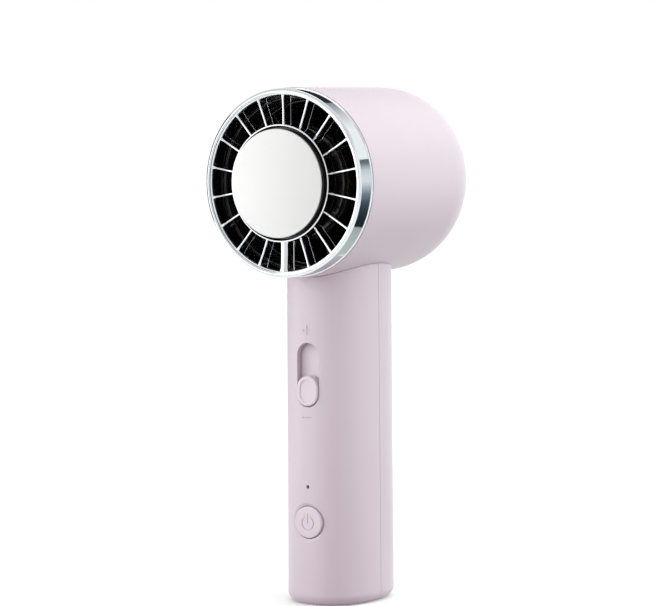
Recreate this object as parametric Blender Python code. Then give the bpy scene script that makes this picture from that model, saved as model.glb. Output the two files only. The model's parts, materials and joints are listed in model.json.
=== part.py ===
"""Handheld electric fan with a powered cooling plate, as an assembly of separate pieces.

Metres, +Z up. The origin is the centre of the base face, on the surface the fan stands on. The
fan blows towards -Y. The head's axis is parallel to Y, at the height HEAD_Z.
"""

from math import cos, pi, radians, sin

import bmesh
import bpy
from mathutils import Vector

# Head, turned about its axis. Axial places (y) are measured from the head's own centre plane.
HEAD_Z = 0.16366
HEAD_SHIFT = -0.0004
HEAD_RADIUS = 0.03634
SHELL_WALL = 0.0018
SHELL_FRONT = -0.0303
DOME_START = 0.02695
DOME_END = 0.0543
DOME_POWER = 2.45
INTAKE_RADIUS = 0.0230
LIP_FRONT = -0.0384

# Front grille and the plate in its middle.
VANE_COUNT = 18
VANE_THICKNESS = 0.0010
CHANNEL_THICKNESS = 0.0030
GRILLE_RADIUS = 0.03375
RIM_INNER = 0.0330
HUB_RING_OUTER = 0.0223
HUB_RING_INNER = 0.0216
PLATE_RADIUS = 0.0206
PLATE_FRONT = -0.0423

# Duct, guide vanes, motor and impeller.
DUCT_OUTER = 0.0331
DUCT_INNER = 0.0320
HUB_RADIUS = 0.0220
HUB_FRONT = -0.0260
HUB_BACK = 0.0040
GUIDE_COUNT = 11
GUIDE_RING_INNER = 0.0309
GUIDE_RING_OUTER = 0.0317
SHAFT_RADIUS = 0.0010
STATOR_TEETH = 9
STATOR_RADIUS = 0.0110
BLADE_COUNT = 9
BLADE_TIP = 0.0314
IMPELLER_FRONT = 0.0047
IMPELLER_BACK = 0.0270

# Handle: an oval that narrows a little towards the head.
HANDLE_HALF_X = 0.01835
HANDLE_HALF_Y = 0.02298
HANDLE_POWER = 2.3
HANDLE_TAPER = 0.00049 / 0.130
HANDLE_WALL = 0.0022
BASE_FILLET = 0.0038
SHELL_BOTTOM = 0.0003
SPLIT_Y = 0.0005
HALF_SPLIT = 0.00015
LEAF = 0.0003

# Controls on the front of the handle.
SLOT_LOW = 0.0771
SLOT_HIGH = 0.1019
SLOT_WIDTH = 0.0104
KNOB_WIDTH = 0.0095
KNOB_LENGTH = 0.0117
KNOB_FRONT = -0.0231
SLIDE_END_GAP = 0.00035
KNOB_Z = SLOT_LOW + SLIDE_END_GAP + KNOB_LENGTH / 2
SHUTTER_FRONT = -0.0192
BUTTON_Z = 0.0325
BUTTON_HOLE = 0.0065
BUTTON_RADIUS = 0.0062
BUTTON_FRONT = -0.0230
LIGHT_Z = 0.04625
LIGHT_HOLE = 0.0007
PLUS_Z = 0.1068
MINUS_Z = 0.0731
MARK_BOTTOM = -0.0222

# Neck: where its two screws and the leads pass.
NECK_Y = 0.0110
NECK_LOW = 0.120
NECK_HIGH = 0.135
MOTOR_LEAD_Y = -0.0030
PLATE_LEAD_X = 0.0034

# Board, battery and charging socket. The parts on the board stand forward of its solder face.
PART_BACK = -0.0118
BOARD_FRONT = -0.0115
BOARD_BACK = -0.0101
CELL_RADIUS = 0.0105
CELL_LOW = 0.0250
CELL_HIGH = 0.0950
CELL_Y = 0.0050
SOCKET_Z = 0.0150
SOCKET_WIDTH = 0.0090
SOCKET_HEIGHT = 0.0032
SOCKET_GAP = 0.0006

# Frame of the head's turned pieces: their local Z runs along the fan's axis.
ALONG_Y = (-pi / 2, 0, 0)
HEAD_CENTRE = (0, HEAD_SHIFT, HEAD_Z)

PINK = (0.74, 0.60, 0.68)
DARK = (0.018, 0.018, 0.020)
GREY = (0.30, 0.30, 0.32)
CHROME = (0.82, 0.84, 0.86)
SATIN = (0.86, 0.86, 0.85)
STEEL = (0.55, 0.55, 0.57)
COPPER = (0.72, 0.32, 0.14)
BRASS = (0.75, 0.58, 0.28)
GREEN = (0.03, 0.16, 0.08)
WHITE = (0.80, 0.80, 0.78)
RED = (0.55, 0.04, 0.03)


def clear_scene():
    for old in list(bpy.data.objects):
        bpy.data.objects.remove(old, do_unlink=True)


def material(name, colour, roughness=0.5, metallic=0.0):
    """A Principled material, made once and then shared."""
    if name in bpy.data.materials:
        return bpy.data.materials[name]
    made = bpy.data.materials.new(name)
    made.use_nodes = True
    shader = made.node_tree.nodes["Principled BSDF"]
    shader.inputs["Base Color"].default_value = (*colour, 1.0)
    shader.inputs["Roughness"].default_value = roughness
    shader.inputs["Metallic"].default_value = metallic
    return made


def pink():
    return material("pink_plastic", PINK, 0.45)


def black():
    return material("black_plastic", DARK, 0.5)


def chrome():
    return material("chrome", CHROME, 0.08, 1.0)


def steel():
    return material("steel", STEEL, 0.3, 1.0)


def place(name, bm, finish, location=(0, 0, 0), rotation=(0, 0, 0)):
    """Turns a bmesh into a named object with outward faces."""
    bmesh.ops.recalc_face_normals(bm, faces=bm.faces)
    mesh = bpy.data.meshes.new(name)
    bm.to_mesh(mesh)
    bm.free()
    mesh.shade_smooth()
    mesh.set_sharp_from_angle(angle=radians(35))
    mesh.materials.append(finish)
    made = bpy.data.objects.new(name, mesh)
    made.location = location
    made.rotation_euler = rotation
    bpy.context.scene.collection.objects.link(made)
    return made


def helper(made):
    """A cutter or a shape to be joined: it isn't a piece of its own."""
    made.hide_render = True
    made.display_type = "WIRE"
    return made


def boolean(target, other, operation="DIFFERENCE"):
    change = target.modifiers.new(other.name, "BOOLEAN")
    change.operation = operation
    change.solver = "EXACT"
    change.object = helper(other)
    return target


def add_ring(bm, rings, loop=False):
    """Skins neighbouring rings of vertices. A ring of one vertex is a pole."""
    pairs = list(zip(rings, rings[1:]))
    if loop:
        pairs.append((rings[-1], rings[0]))
    for low, high in pairs:
        count = max(len(low), len(high))
        for i in range(count):
            j = (i + 1) % count
            corners = [low[i % len(low)], low[j % len(low)], high[j % len(high)], high[i % len(high)]]
            bm.faces.new(list(dict.fromkeys(corners)))


def revolve(bm, outline, steps):
    """Turns (radius, height) points about local Z. An outline off the axis closes on itself."""
    rings = []
    for radius, height in outline:
        if radius == 0:
            rings.append([bm.verts.new((0, 0, height))])
            continue
        angles = [2 * pi * i / steps for i in range(steps)]
        rings.append([bm.verts.new((radius * cos(a), radius * sin(a), height)) for a in angles])
    add_ring(bm, rings, loop=outline[0][0] != 0)



def turned(name, outline, finish, centre=HEAD_CENTRE, rotation=ALONG_Y, steps=48):
    """A piece turned about an axis. Head pieces run along Y, with their heights as head places."""
    bm = bmesh.new()
    revolve(bm, outline, steps)
    return place(name, bm, finish, centre, rotation)


def prism(name, outline, low, high, finish, axis="Z", centre=(0, 0, 0)):
    """Extrudes an outline between two places. Its points are (x, y) along Z, or (x, z) along Y."""
    bm = bmesh.new()
    rings = []
    for at in (low, high):
        points = [(u, v, at) if axis == "Z" else (u, at, v) for u, v in outline]
        rings.append([bm.verts.new(point) for point in points])
    add_ring(bm, rings)
    for ring in rings:
        bm.faces.new(ring)
    return place(name, bm, finish, centre)


def block(name, low, high, finish):
    """A box between two corners."""
    corners = [(low[0], low[1]), (high[0], low[1]), (high[0], high[1]), (low[0], high[1])]
    return prism(name, corners, low[2], high[2], finish)


def stadium(width, length, steps=8):
    """A slot outline, long along its second coordinate and centred."""
    radius = width / 2
    straight = length / 2 - radius
    turns = [pi * i / steps for i in range(steps + 1)]
    top = [(radius * cos(t), straight + radius * sin(t)) for t in turns]
    bottom = [(-radius * cos(t), -straight - radius * sin(t)) for t in turns]
    return top + bottom


def moved(outline, u, v):
    return [(a + u, b + v) for a, b in outline]


def swapped(outline):
    return [(b, a) for a, b in outline]


def circle(radius, steps=24):
    return [(radius * cos(2 * pi * i / steps), radius * sin(2 * pi * i / steps)) for i in range(steps)]


def dome_height(radius, inset=0.0):
    """Where the head's domed back lies at this radius. An inset gives its inner face."""
    share = (radius / (HEAD_RADIUS - inset)) ** DOME_POWER
    return DOME_START + (DOME_END - DOME_START - inset) * (1 - share) ** (1 / DOME_POWER)


def dome_radius(height, inset=0.0):
    share = ((height - DOME_START) / (DOME_END - DOME_START - inset)) ** DOME_POWER
    return (HEAD_RADIUS - inset) * (1 - share) ** (1 / DOME_POWER)


def handle_section(z, inset=0.0, count=40):
    """The handle's oval outline at a height, as (x, y) points."""
    half_x = HANDLE_HALF_X - HANDLE_TAPER * z - inset
    half_y = HANDLE_HALF_Y - HANDLE_TAPER * z - inset
    points = []
    for i in range(count):
        a = 2 * pi * i / count
        reach = (abs(cos(a)) ** HANDLE_POWER + abs(sin(a)) ** HANDLE_POWER) ** (-1 / HANDLE_POWER)
        points.append((half_x * reach * cos(a), half_y * reach * sin(a)))
    return points


def lofted(name, levels, finish):
    """Skins handle sections. Each level is (height, inset)."""
    bm = bmesh.new()
    rings = []
    for z, inset in levels:
        rings.append([bm.verts.new((x, y, z)) for x, y in handle_section(z, inset)])
    add_ring(bm, rings)
    bm.faces.new(rings[0])
    bm.faces.new(rings[-1])
    return place(name, bm, finish)


# ---------------------------------------------------------------- head, outside


def head_shell():
    """The barrel: open at the front, with a recess in its domed back for the intake grille."""
    outer_dome = [dome_point(share) for share in (0.90, 0.74, 0.59, 0.47)]
    inner_dome = [(dome_radius(y, SHELL_WALL), y) for y in (0.0445, 0.0405, 0.0350)]
    seat = dome_height(INTAKE_RADIUS) - 0.0022
    outline = [
        (HEAD_RADIUS - 0.0004, SHELL_FRONT),
        (HEAD_RADIUS, SHELL_FRONT + 0.0006),
        (HEAD_RADIUS, DOME_START),
        *outer_dome,
        (INTAKE_RADIUS, dome_height(INTAKE_RADIUS)),
        (INTAKE_RADIUS, seat),
        (INTAKE_RADIUS - 0.0018, seat),
        (INTAKE_RADIUS - 0.0018, seat - 0.0016),
        *inner_dome,
        (HEAD_RADIUS - SHELL_WALL, DOME_START),
        (HEAD_RADIUS - SHELL_WALL, SHELL_FRONT),
    ]
    shell = turned("head_shell", outline, pink())
    boolean(shell, prism("lead_hole", circle(0.0050, 16), NECK_LOW, NECK_HIGH, pink()))
    for side in (-1, 1):
        spot = (0, side * NECK_Y, 0)
        hole = prism(f"neck_hole_{side}", circle(0.0013, 12), NECK_LOW, NECK_HIGH, pink(), centre=spot)
        boolean(shell, hole)
    return shell


def dome_point(share):
    """A point of the outer dome. Share 1 is where it leaves the barrel, and 0 is the pole."""
    turn = share * pi / 2
    return (
        HEAD_RADIUS * sin(turn) ** (2 / DOME_POWER),
        DOME_START + (DOME_END - DOME_START) * cos(turn) ** (2 / DOME_POWER),
    )


def rear_grille():
    """A domed cap with a ring of radial slots, through which the fan draws air."""
    edge = INTAKE_RADIUS - LEAF
    seat = dome_height(INTAKE_RADIUS) - 0.0022 + LEAF
    outer = [(r, dome_height(r)) for r in (0.006, 0.012, 0.018)]
    inner = [(r, dome_height(r) - 0.0018) for r in (0.018, 0.012, 0.006)]
    side = [(edge, dome_height(edge)), (edge, seat)]
    outline = [(0, DOME_END), *outer, *side, *inner, (0, DOME_END - 0.0018)]
    grille = turned("rear_grille", outline, pink(), steps=36)
    slots = 24
    near, far = 0.0090, 0.0200
    cutter = bmesh.new()
    for i in range(slots):
        a = 2 * pi * (i + 0.5) / slots
        along = Vector((cos(a), sin(a), 0))
        across = Vector((-sin(a), cos(a), 0))
        corners = [(near, -0.0005), (far, -0.0015), (far + 0.0008, 0), (far, 0.0015), (near, 0.0005)]
        rings = []
        for height in (0.044, 0.058):
            points = [along * r + across * t + Vector((0, 0, height)) for r, t in corners]
            rings.append([cutter.verts.new(point) for point in points])
        add_ring(cutter, rings)
        for ring in rings:
            cutter.faces.new(ring)
    return boolean(grille, place("intake_slots", cutter, pink(), HEAD_CENTRE, ALONG_Y))


def trim_ring():
    """Chrome band round the mouth, with a skirt that plugs into the shell."""
    outline = [
        (0.0358, LIP_FRONT + 0.0003),
        (0.0355, LIP_FRONT),
        (0.0344, LIP_FRONT),
        (0.0341, LIP_FRONT + 0.0003),
        (0.0341, -0.0316),
        (0.0334, -0.0316),
        (0.0334, -0.0250),
        (0.0342, -0.0250),
        (0.0342, -0.0306),
        (0.0356, -0.0306),
    ]
    ring = turned("trim_ring", outline, chrome())
    notch_low = (-0.0022, -0.0332, HEAD_Z - 0.0343)
    notch_high = (0.0022, -0.0240, HEAD_Z - 0.0328)
    return boolean(ring, block("lead_notch", notch_low, notch_high, chrome()))


def add_vane(bm, angle, thickness, near, far):
    """One radial plate of the front grille. The front edge rises a little towards the rim."""
    along = Vector((sin(angle), -cos(angle), 0))
    across = Vector((cos(angle), sin(angle), 0)) * (thickness / 2)
    rings = []
    for radius, front in ((near, -0.0372), (far, -0.0381)):
        corners = [
            along * radius - across + Vector((0, 0, front)),
            along * radius + across + Vector((0, 0, front)),
            along * radius + across + Vector((0, 0, -0.0322)),
            along * radius - across + Vector((0, 0, -0.0322)),
        ]
        rings.append([bm.verts.new(corner) for corner in corners])
    add_ring(bm, rings)
    for ring in rings:
        bm.faces.new(ring)


def front_grille():
    """One chromed moulding: rim, hub ring and vanes. The lowest vane is a wide channel for the leads."""
    rim = [
        (GRILLE_RADIUS, -0.0319),
        (GRILLE_RADIUS, -0.0380),
        (GRILLE_RADIUS - 0.0003, -0.0383),
        (RIM_INNER, -0.0380),
        (RIM_INNER, -0.0319),
    ]
    hub = [
        (HUB_RING_OUTER, -0.0335),
        (HUB_RING_OUTER, -0.0400),
        (HUB_RING_INNER, -0.0400),
        (HUB_RING_INNER, -0.0335),
    ]
    grille = turned("front_grille", rim, chrome(), steps=54)
    boolean(grille, turned("grille_hub", hub, chrome(), steps=54), "UNION")
    vanes = bmesh.new()
    for i in range(VANE_COUNT):
        angle = 2 * pi * i / VANE_COUNT
        lowest = i == VANE_COUNT // 2
        thickness = CHANNEL_THICKNESS if lowest else VANE_THICKNESS
        add_vane(vanes, angle, thickness, HUB_RING_INNER + 0.0003, GRILLE_RADIUS - 0.0003)
    return boolean(grille, place("grille_vanes", vanes, chrome(), HEAD_CENTRE, ALONG_Y), "UNION")


# ---------------------------------------------------------------- cooling plate


def cooling_stack():
    """The plate that touches the skin, and what cools it, from the front to the back."""
    plate = [
        (0, PLATE_FRONT),
        (0.0150, PLATE_FRONT + 0.0001),
        (PLATE_RADIUS - 0.0005, PLATE_FRONT + 0.0003),
        (PLATE_RADIUS, PLATE_FRONT + 0.0008),
        (PLATE_RADIUS, -0.0410),
        (0, -0.0410),
    ]
    turned("cold_plate", plate, material("satin_metal", SATIN, 0.35, 1.0), steps=36)
    carrier = [
        (0.0213, -0.0404),
        (0.0185, -0.0404),
        (0.0185, -0.0340),
        (0.0213, -0.0340),
    ]
    ring = turned("plate_carrier", carrier, black(), steps=36)
    notch_low = (-0.0012, -0.0374, HEAD_Z - 0.0215)
    notch_high = (0.0012, -0.0330, HEAD_Z - 0.0180)
    boolean(ring, block("carrier_notch", notch_low, notch_high, black()))
    pad = material("thermal_pad", GREY, 0.8)
    square_stack("thermal_pad_cold", 0.0110, -0.0407, -0.0401, pad)
    square_stack("cooling_module", 0.0115, -0.0398, -0.0366, material("ceramic", WHITE, 0.5))
    square_stack("thermal_pad_hot", 0.0110, -0.0363, -0.0357, pad)
    heat_sink()


def square_stack(name, half, front, back, finish):
    """A square layer behind the plate, between two head places."""
    low = (-half, front + HEAD_SHIFT, HEAD_Z - half)
    high = (half, back + HEAD_SHIFT, HEAD_Z + half)
    return block(name, low, high, finish)


def heat_sink():
    """A round base with parallel fins towards the air stream."""
    base = [(0, -0.0354), (0.0172, -0.0354), (0.0172, -0.0340), (0, -0.0340)]
    sink = turned("heat_sink", base, material("black_aluminium", (0.05, 0.05, 0.055), 0.4, 1.0), steps=36)
    fins = bmesh.new()
    count, pitch, thickness, reach = 9, 0.0036, 0.0010, 0.0168
    for i in range(count):
        x = (i - (count - 1) / 2) * pitch
        half = (reach**2 - (abs(x) + thickness / 2) ** 2) ** 0.5
        rings = []
        for y in (-0.0345, -0.0295):
            corners = [(x - thickness / 2, -half), (x + thickness / 2, -half)]
            corners += [(x + thickness / 2, half), (x - thickness / 2, half)]
            rings.append([fins.verts.new((u, v, y)) for u, v in corners])
        add_ring(fins, rings)
        for ring in rings:
            fins.faces.new(ring)
    return boolean(sink, place("sink_fins", fins, black(), HEAD_CENTRE, ALONG_Y), "UNION")


# ---------------------------------------------------------------- duct and motor


def air_duct():
    """The sleeve that the air runs through, from the impeller to the grille."""
    outline = [
        (DUCT_INNER, -0.0303),
        (DUCT_OUTER, -0.0303),
        (DUCT_OUTER, 0.0300),
        (DUCT_OUTER + 0.0008, 0.0330),
        (DUCT_INNER + 0.0008, 0.0330),
        (DUCT_INNER, 0.0300),
    ]
    duct = turned("air_duct", outline, black())
    return boolean(duct, lead_cutter("duct_lead_hole"))


def lead_cutter(name):
    """An upright hole for the motor leads, under the hub."""
    outline = circle(0.0016, 12)
    return prism(name, outline, HEAD_Z - 0.036, HEAD_Z - 0.0190, black(), centre=(0, MOTOR_LEAD_Y, 0))


def add_blade(bm, base_angle, rows, thickness):
    """A twisted plate. Each row is (axial place, root radius, tip radius, twist)."""
    rings = []
    for place_y, root, tip, twist in rows:
        ring = []
        for radius, side in ((root, -1), (tip, -1), (tip, 1), (root, 1)):
            a = base_angle + twist + side * thickness / (2 * radius)
            ring.append(bm.verts.new((radius * sin(a), radius * cos(a), place_y)))
        rings.append(ring)
    add_ring(bm, rings)
    bm.faces.new(rings[0])
    bm.faces.new(rings[-1])


def guide_vanes():
    """The motor's housing: a hub held in the duct by curved vanes that straighten the air."""
    wall = HUB_RADIUS - 0.0014
    hub = [
        (HUB_RADIUS, HUB_FRONT),
        (HUB_RADIUS, HUB_BACK),
        (0.0042, HUB_BACK),
        (0.0042, HUB_BACK - 0.0015),
        (wall, HUB_BACK - 0.0015),
        (wall, HUB_FRONT),
    ]
    ring = [
        (GUIDE_RING_OUTER, -0.0200),
        (GUIDE_RING_OUTER, 0.0),
        (GUIDE_RING_INNER, 0.0),
        (GUIDE_RING_INNER, -0.0200),
    ]
    housing = turned("guide_vanes", hub, black(), steps=33)
    boolean(housing, turned("guide_ring", ring, black(), steps=33), "UNION")
    vanes = bmesh.new()
    for i in range(GUIDE_COUNT):
        angle = 2 * pi * (i + 0.5) / GUIDE_COUNT
        rows = [
            (y, HUB_RADIUS - 0.0006, GUIDE_RING_OUTER - 0.0003, radians(twist))
            for y, twist in ((-0.0195, 0), (-0.0090, 2), (-0.0005, 9))
        ]
        add_blade(vanes, angle, rows, 0.0010)
    boolean(housing, place("guide_blades", vanes, black(), HEAD_CENTRE, ALONG_Y), "UNION")
    return boolean(housing, lead_cutter("hub_lead_hole"))


def hub_nose():
    """The rounded cap on the front of the hub."""
    outline = [
        (0, -0.0285),
        (0.0195, -0.0285),
        (0.0212, -0.0280),
        (HUB_RADIUS, -0.0263),
        (0.0202, -0.0263),
        (0.0202, -0.0235),
        (0.0190, -0.0235),
        (0.0190, -0.0270),
        (0, -0.0270),
    ]
    return turned("hub_nose", outline, black(), steps=33)


def motor():
    """Outer-rotor motor: fixed tube, bearings, core, winding and board, and the bell that turns."""
    tube = [
        (0.0034, -0.0020),
        (0.0040, -0.0020),
        (0.0040, 0.0043),
        (0.0062, 0.0043),
        (0.0062, 0.0052),
        (0.0040, 0.0052),
        (0.0040, 0.0160),
        (0.0034, 0.0160),
    ]
    turned("bearing_tube", tube, material("brass", BRASS, 0.3, 1.0), steps=20)
    for name, low, high in (("bearing_front", 0.0, 0.0030), ("bearing_rear", 0.0125, 0.0155)):
        race = [(0.00107, low), (0.0033, low), (0.0033, high), (0.00107, high)]
        turned(name, race, steel(), steps=20)
    shaft = [(0, -0.0015), (SHAFT_RADIUS, -0.0015), (SHAFT_RADIUS, 0.0272), (0, 0.0272)]
    turned("motor_shaft", shaft, steel(), steps=20)
    stator()
    magnet = [(0.0114, 0.0062), (0.0129, 0.0062), (0.0129, 0.0135), (0.0114, 0.0135)]
    turned("rotor_magnet", magnet, material("magnet", (0.12, 0.12, 0.13), 0.5), steps=24)
    bell = [
        (0.0131, 0.0057),
        (0.0139, 0.0057),
        (0.0139, 0.0171),
        (0.0028, 0.0171),
        (0.0028, 0.0180),
        (0.00107, 0.0180),
        (0.00107, 0.0163),
        (0.0131, 0.0163),
    ]
    turned("rotor_bell", bell, steel(), steps=24)
    board = [(0.0045, -0.0050), (0.0175, -0.0050), (0.0175, -0.0038), (0.0045, -0.0038)]
    turned("motor_board", board, material("circuit_board", GREEN, 0.4), steps=24)


def stator_core():
    """Nine T-shaped teeth on a hub ring, in one prism."""
    outline = []
    pitch = 2 * pi / STATOR_TEETH
    neck, shoe = 0.0012, 0.42 * pitch
    for i in range(STATOR_TEETH):
        a = i * pitch
        along, across = Vector((cos(a), sin(a))), Vector((-sin(a), cos(a)))
        outline.append(along * 0.0060 - across * neck)
        outline.append(along * 0.0097 - across * neck)
        for t in (-shoe, 0, shoe):
            outline.append(Vector((cos(a + t), sin(a + t))) * STATOR_RADIUS)
        outline.append(along * 0.0097 + across * neck)
        outline.append(along * 0.0060 + across * neck)
    bm = bmesh.new()
    rings = [[bm.verts.new((p.x, p.y, y)) for p in outline] for y in (0.0070, 0.0126)]
    add_ring(bm, rings)
    for ring in rings:
        bm.faces.new(ring)
    core = place("stator_core", bm, material("lamination", GREY, 0.5, 0.8), HEAD_CENTRE, ALONG_Y)
    bore = [(0, 0.0060), (0.0042, 0.0060), (0.0042, 0.0136), (0, 0.0136)]
    return boolean(core, turned("stator_bore", bore, steel(), steps=20))


def stator():
    """The core, and the winding that fills its slots and stands out at both ends."""
    stator_core()
    ring = [(0.0066, 0.0060), (0.0094, 0.0060), (0.0094, 0.0140), (0.0066, 0.0140)]
    winding = turned("stator_winding", ring, material("copper", COPPER, 0.35, 1.0), steps=27)
    room = bmesh.new()
    for i in range(STATOR_TEETH):
        a = 2 * pi * i / STATOR_TEETH
        along, across = Vector((cos(a), sin(a), 0)), Vector((-sin(a), cos(a), 0)) * 0.00135
        rings = []
        for radius in (0.0060, 0.0102):
            sides = [(-1, 0.00685), (1, 0.00685), (1, 0.01275), (-1, 0.01275)]
            points = [along * radius + across * side + Vector((0, 0, y)) for side, y in sides]
            rings.append([room.verts.new(point) for point in points])
        add_ring(room, rings)
        for ring_of_points in rings:
            room.faces.new(ring_of_points)
    return boolean(winding, place("tooth_room", room, steel(), HEAD_CENTRE, ALONG_Y))


def impeller_hub(y):
    """The impeller hub's outer radius at an axial place: full at the front, rounding in at the back."""
    share = (y - IMPELLER_FRONT) / (IMPELLER_BACK + 0.0015 - IMPELLER_FRONT)
    return 0.0218 * (1 - 0.92 * share**2.4) ** 0.5


def impeller():
    """A bowl over the bell, with twisted blades. Its boss is pressed on the shaft."""
    places = (IMPELLER_FRONT, 0.0140, 0.0205, 0.0248, IMPELLER_BACK)
    outer = [(impeller_hub(y), y) for y in places]
    inner = [(impeller_hub(y) - 0.0016, y) for y in (0.0205, 0.0140, IMPELLER_FRONT)]
    outline = [*outer, (0.00107, IMPELLER_BACK), (0.00107, 0.0184), (0.0034, 0.0184), (0.0034, 0.0240)]
    outline += [(0.0150, 0.0232), *inner]
    wheel = turned("impeller", outline, black(), steps=27)
    blades = bmesh.new()
    for i in range(BLADE_COUNT):
        rows = [
            (y, impeller_hub(y) - 0.0008, BLADE_TIP, radians(twist))
            for y, twist in ((0.0060, 0), (0.0120, 15), (0.0180, 32), (0.0240, 50))
        ]
        add_blade(blades, 2 * pi * i / BLADE_COUNT, rows, 0.0011)
    return boolean(wheel, place("impeller_blades", blades, black(), HEAD_CENTRE, ALONG_Y), "UNION")


def impeller_cap():
    outline = [(0, 0.0296), (0.0024, 0.0290), (0.0034, 0.0275), (0, 0.0275)]
    return turned("impeller_cap", outline, black(), steps=20)


# ---------------------------------------------------------------- neck

def saddle(inner, outer, half_angle, low_y, high_y, name, finish):
    """A strip that follows the head's round underside."""
    steps = 8
    angles = [-half_angle + 2 * half_angle * i / steps for i in range(steps + 1)]
    outline = [(outer * sin(a), HEAD_Z - outer * cos(a)) for a in angles]
    outline += [(inner * sin(a), HEAD_Z - inner * cos(a)) for a in reversed(angles)]
    return prism(name, outline, low_y, high_y, finish, axis="Y")


def neck():
    """The head sits on the handle: a bracket inside it is screwed down into a block in the handle."""
    plastic = black()
    inside = HEAD_RADIUS - SHELL_WALL
    inner, outer = inside - 0.0010, inside - 0.0002
    bracket = saddle(inner, outer, radians(12), -0.0145, 0.0145, "neck_bracket", steel())
    boolean(bracket, prism("bracket_lead_hole", circle(0.0045, 16), NECK_LOW, NECK_HIGH, steel()))
    low, high = (PLATE_LEAD_X - 0.0009, -0.020, NECK_LOW), (PLATE_LEAD_X + 0.0009, 0, NECK_HIGH)
    boolean(bracket, block("bracket_channel", low, high, steel()))
    block_outline = handle_section(0.118, HANDLE_WALL + 0.0004, 32)
    neck_block = prism("neck_block", block_outline, 0.1165, 0.1235, plastic)
    boolean(neck_block, prism("block_lead_hole", circle(0.0050, 16), 0.110, 0.128, plastic))
    seat = HEAD_Z - inside + 0.0005
    for i, side in enumerate((-1, 1)):
        spot = (0, side * NECK_Y, 0)
        hole = prism(f"bracket_hole_{i}", circle(0.0013, 12), NECK_LOW, NECK_HIGH, steel(), centre=spot)
        seating = prism(f"bracket_seat_{i}", circle(0.0022, 16), seat, NECK_HIGH, steel(), centre=spot)
        pilot = prism(f"block_hole_{i}", circle(0.0011, 12), 0.1180, 0.128, plastic, centre=spot)
        boolean(bracket, hole)
        boolean(bracket, seating)
        boolean(neck_block, pilot)
        screw = [(0, 0.1183), (0.0010, 0.1183), (0.0010, seat + 0.0001)]
        screw += [(0.0019, seat + 0.0001), (0.0019, seat + 0.0007), (0, seat + 0.0007)]
        turned(f"neck_screw_{i + 1}", screw, steel(), spot, (0, 0, 0), 12)


# ---------------------------------------------------------------- handle


def handle_outer(name):
    """The handle's outside, with a rounded foot, up into the head's space."""
    levels = []
    for i in range(4):
        a = pi / 2 * i / 3
        levels.append((SHELL_BOTTOM + BASE_FILLET * (1 - cos(a)), BASE_FILLET * (1 - sin(a))))
    levels += [(0.070, 0), (0.145, 0)]
    return lofted(name, levels, pink())


def handle_cutters():
    """What both shells lack: the hollow, the head's room and the pad's recess."""
    levels = [(0.0030, HANDLE_WALL + 0.0020), (0.0050, HANDLE_WALL), (0.150, HANDLE_WALL)]
    hollow = lofted("handle_hollow", levels, pink())
    head_room = [(0, -0.060), (HEAD_RADIUS + LEAF, -0.060), (HEAD_RADIUS + LEAF, 0.060), (0, 0.060)]
    room = turned("head_room", head_room, pink(), steps=64)
    recess = prism("pad_recess", handle_section(0, 0.0052, 32), -0.002, 0.0015, pink())
    return hollow, room, recess


def handle_shells():
    """Front and rear halves of the handle, parted near the oval's widest line."""
    hollow, room, recess = handle_cutters()
    front = handle_outer("handle_front_shell")
    rear = handle_outer("handle_rear_shell")
    for shell in (front, rear):
        for cutter in (hollow, room, recess):
            boolean(shell, cutter)
    behind = block("behind_split", (-0.03, SPLIT_Y - HALF_SPLIT, -0.01), (0.03, 0.04, 0.16), pink())
    ahead = block("ahead_of_split", (-0.03, -0.04, -0.01), (0.03, SPLIT_Y + HALF_SPLIT, 0.16), pink())
    boolean(front, behind)
    boolean(rear, ahead)
    slot_z = (SLOT_LOW + SLOT_HIGH) / 2
    slot = moved(stadium(SLOT_WIDTH, SLOT_HIGH - SLOT_LOW, 10), 0, slot_z)
    holes = (
        ("slider_slot", slot),
        ("button_hole", moved(circle(BUTTON_HOLE, 32), 0, BUTTON_Z)),
        ("light_hole", moved(circle(LIGHT_HOLE, 12), 0, LIGHT_Z)),
    )
    for name, outline in holes:
        boolean(front, prism(name, outline, -0.030, -0.015, pink(), "Y"))
    boolean(front, plus_mark())
    boolean(front, mark_bar("minus_mark", 0.0021, 0.00025, MINUS_Z))
    socket = moved(swapped(stadium(SOCKET_HEIGHT + SOCKET_GAP, SOCKET_WIDTH + SOCKET_GAP, 6)), 0, SOCKET_Z)
    boolean(rear, prism("socket_hole", socket, 0.015, 0.030, pink(), "Y"))


def mark_bar(name, half_x, half_z, z):
    return block(name, (-half_x, -0.026, z - half_z), (half_x, MARK_BOTTOM, z + half_z), pink())


def plus_mark():
    arm, half = 0.0019, 0.00025
    corner = [(arm, half), (half, half), (half, arm)]
    outline = []
    for x, z in ((1, 1), (-1, 1), (-1, -1), (1, -1)):
        points = [(x * u, z * v) for u, v in corner]
        outline += points if x == z else points[::-1]
    return prism("plus_mark", moved(outline, 0, PLUS_Z), -0.026, MARK_BOTTOM, pink(), "Y")


def base_pad():
    """The soft foot that the fan stands on."""
    rubber = material("rubber", (0.10, 0.09, 0.10), 0.8)
    return prism("base_pad", handle_section(0, 0.0055, 32), 0.0, 0.0012, rubber)


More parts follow.
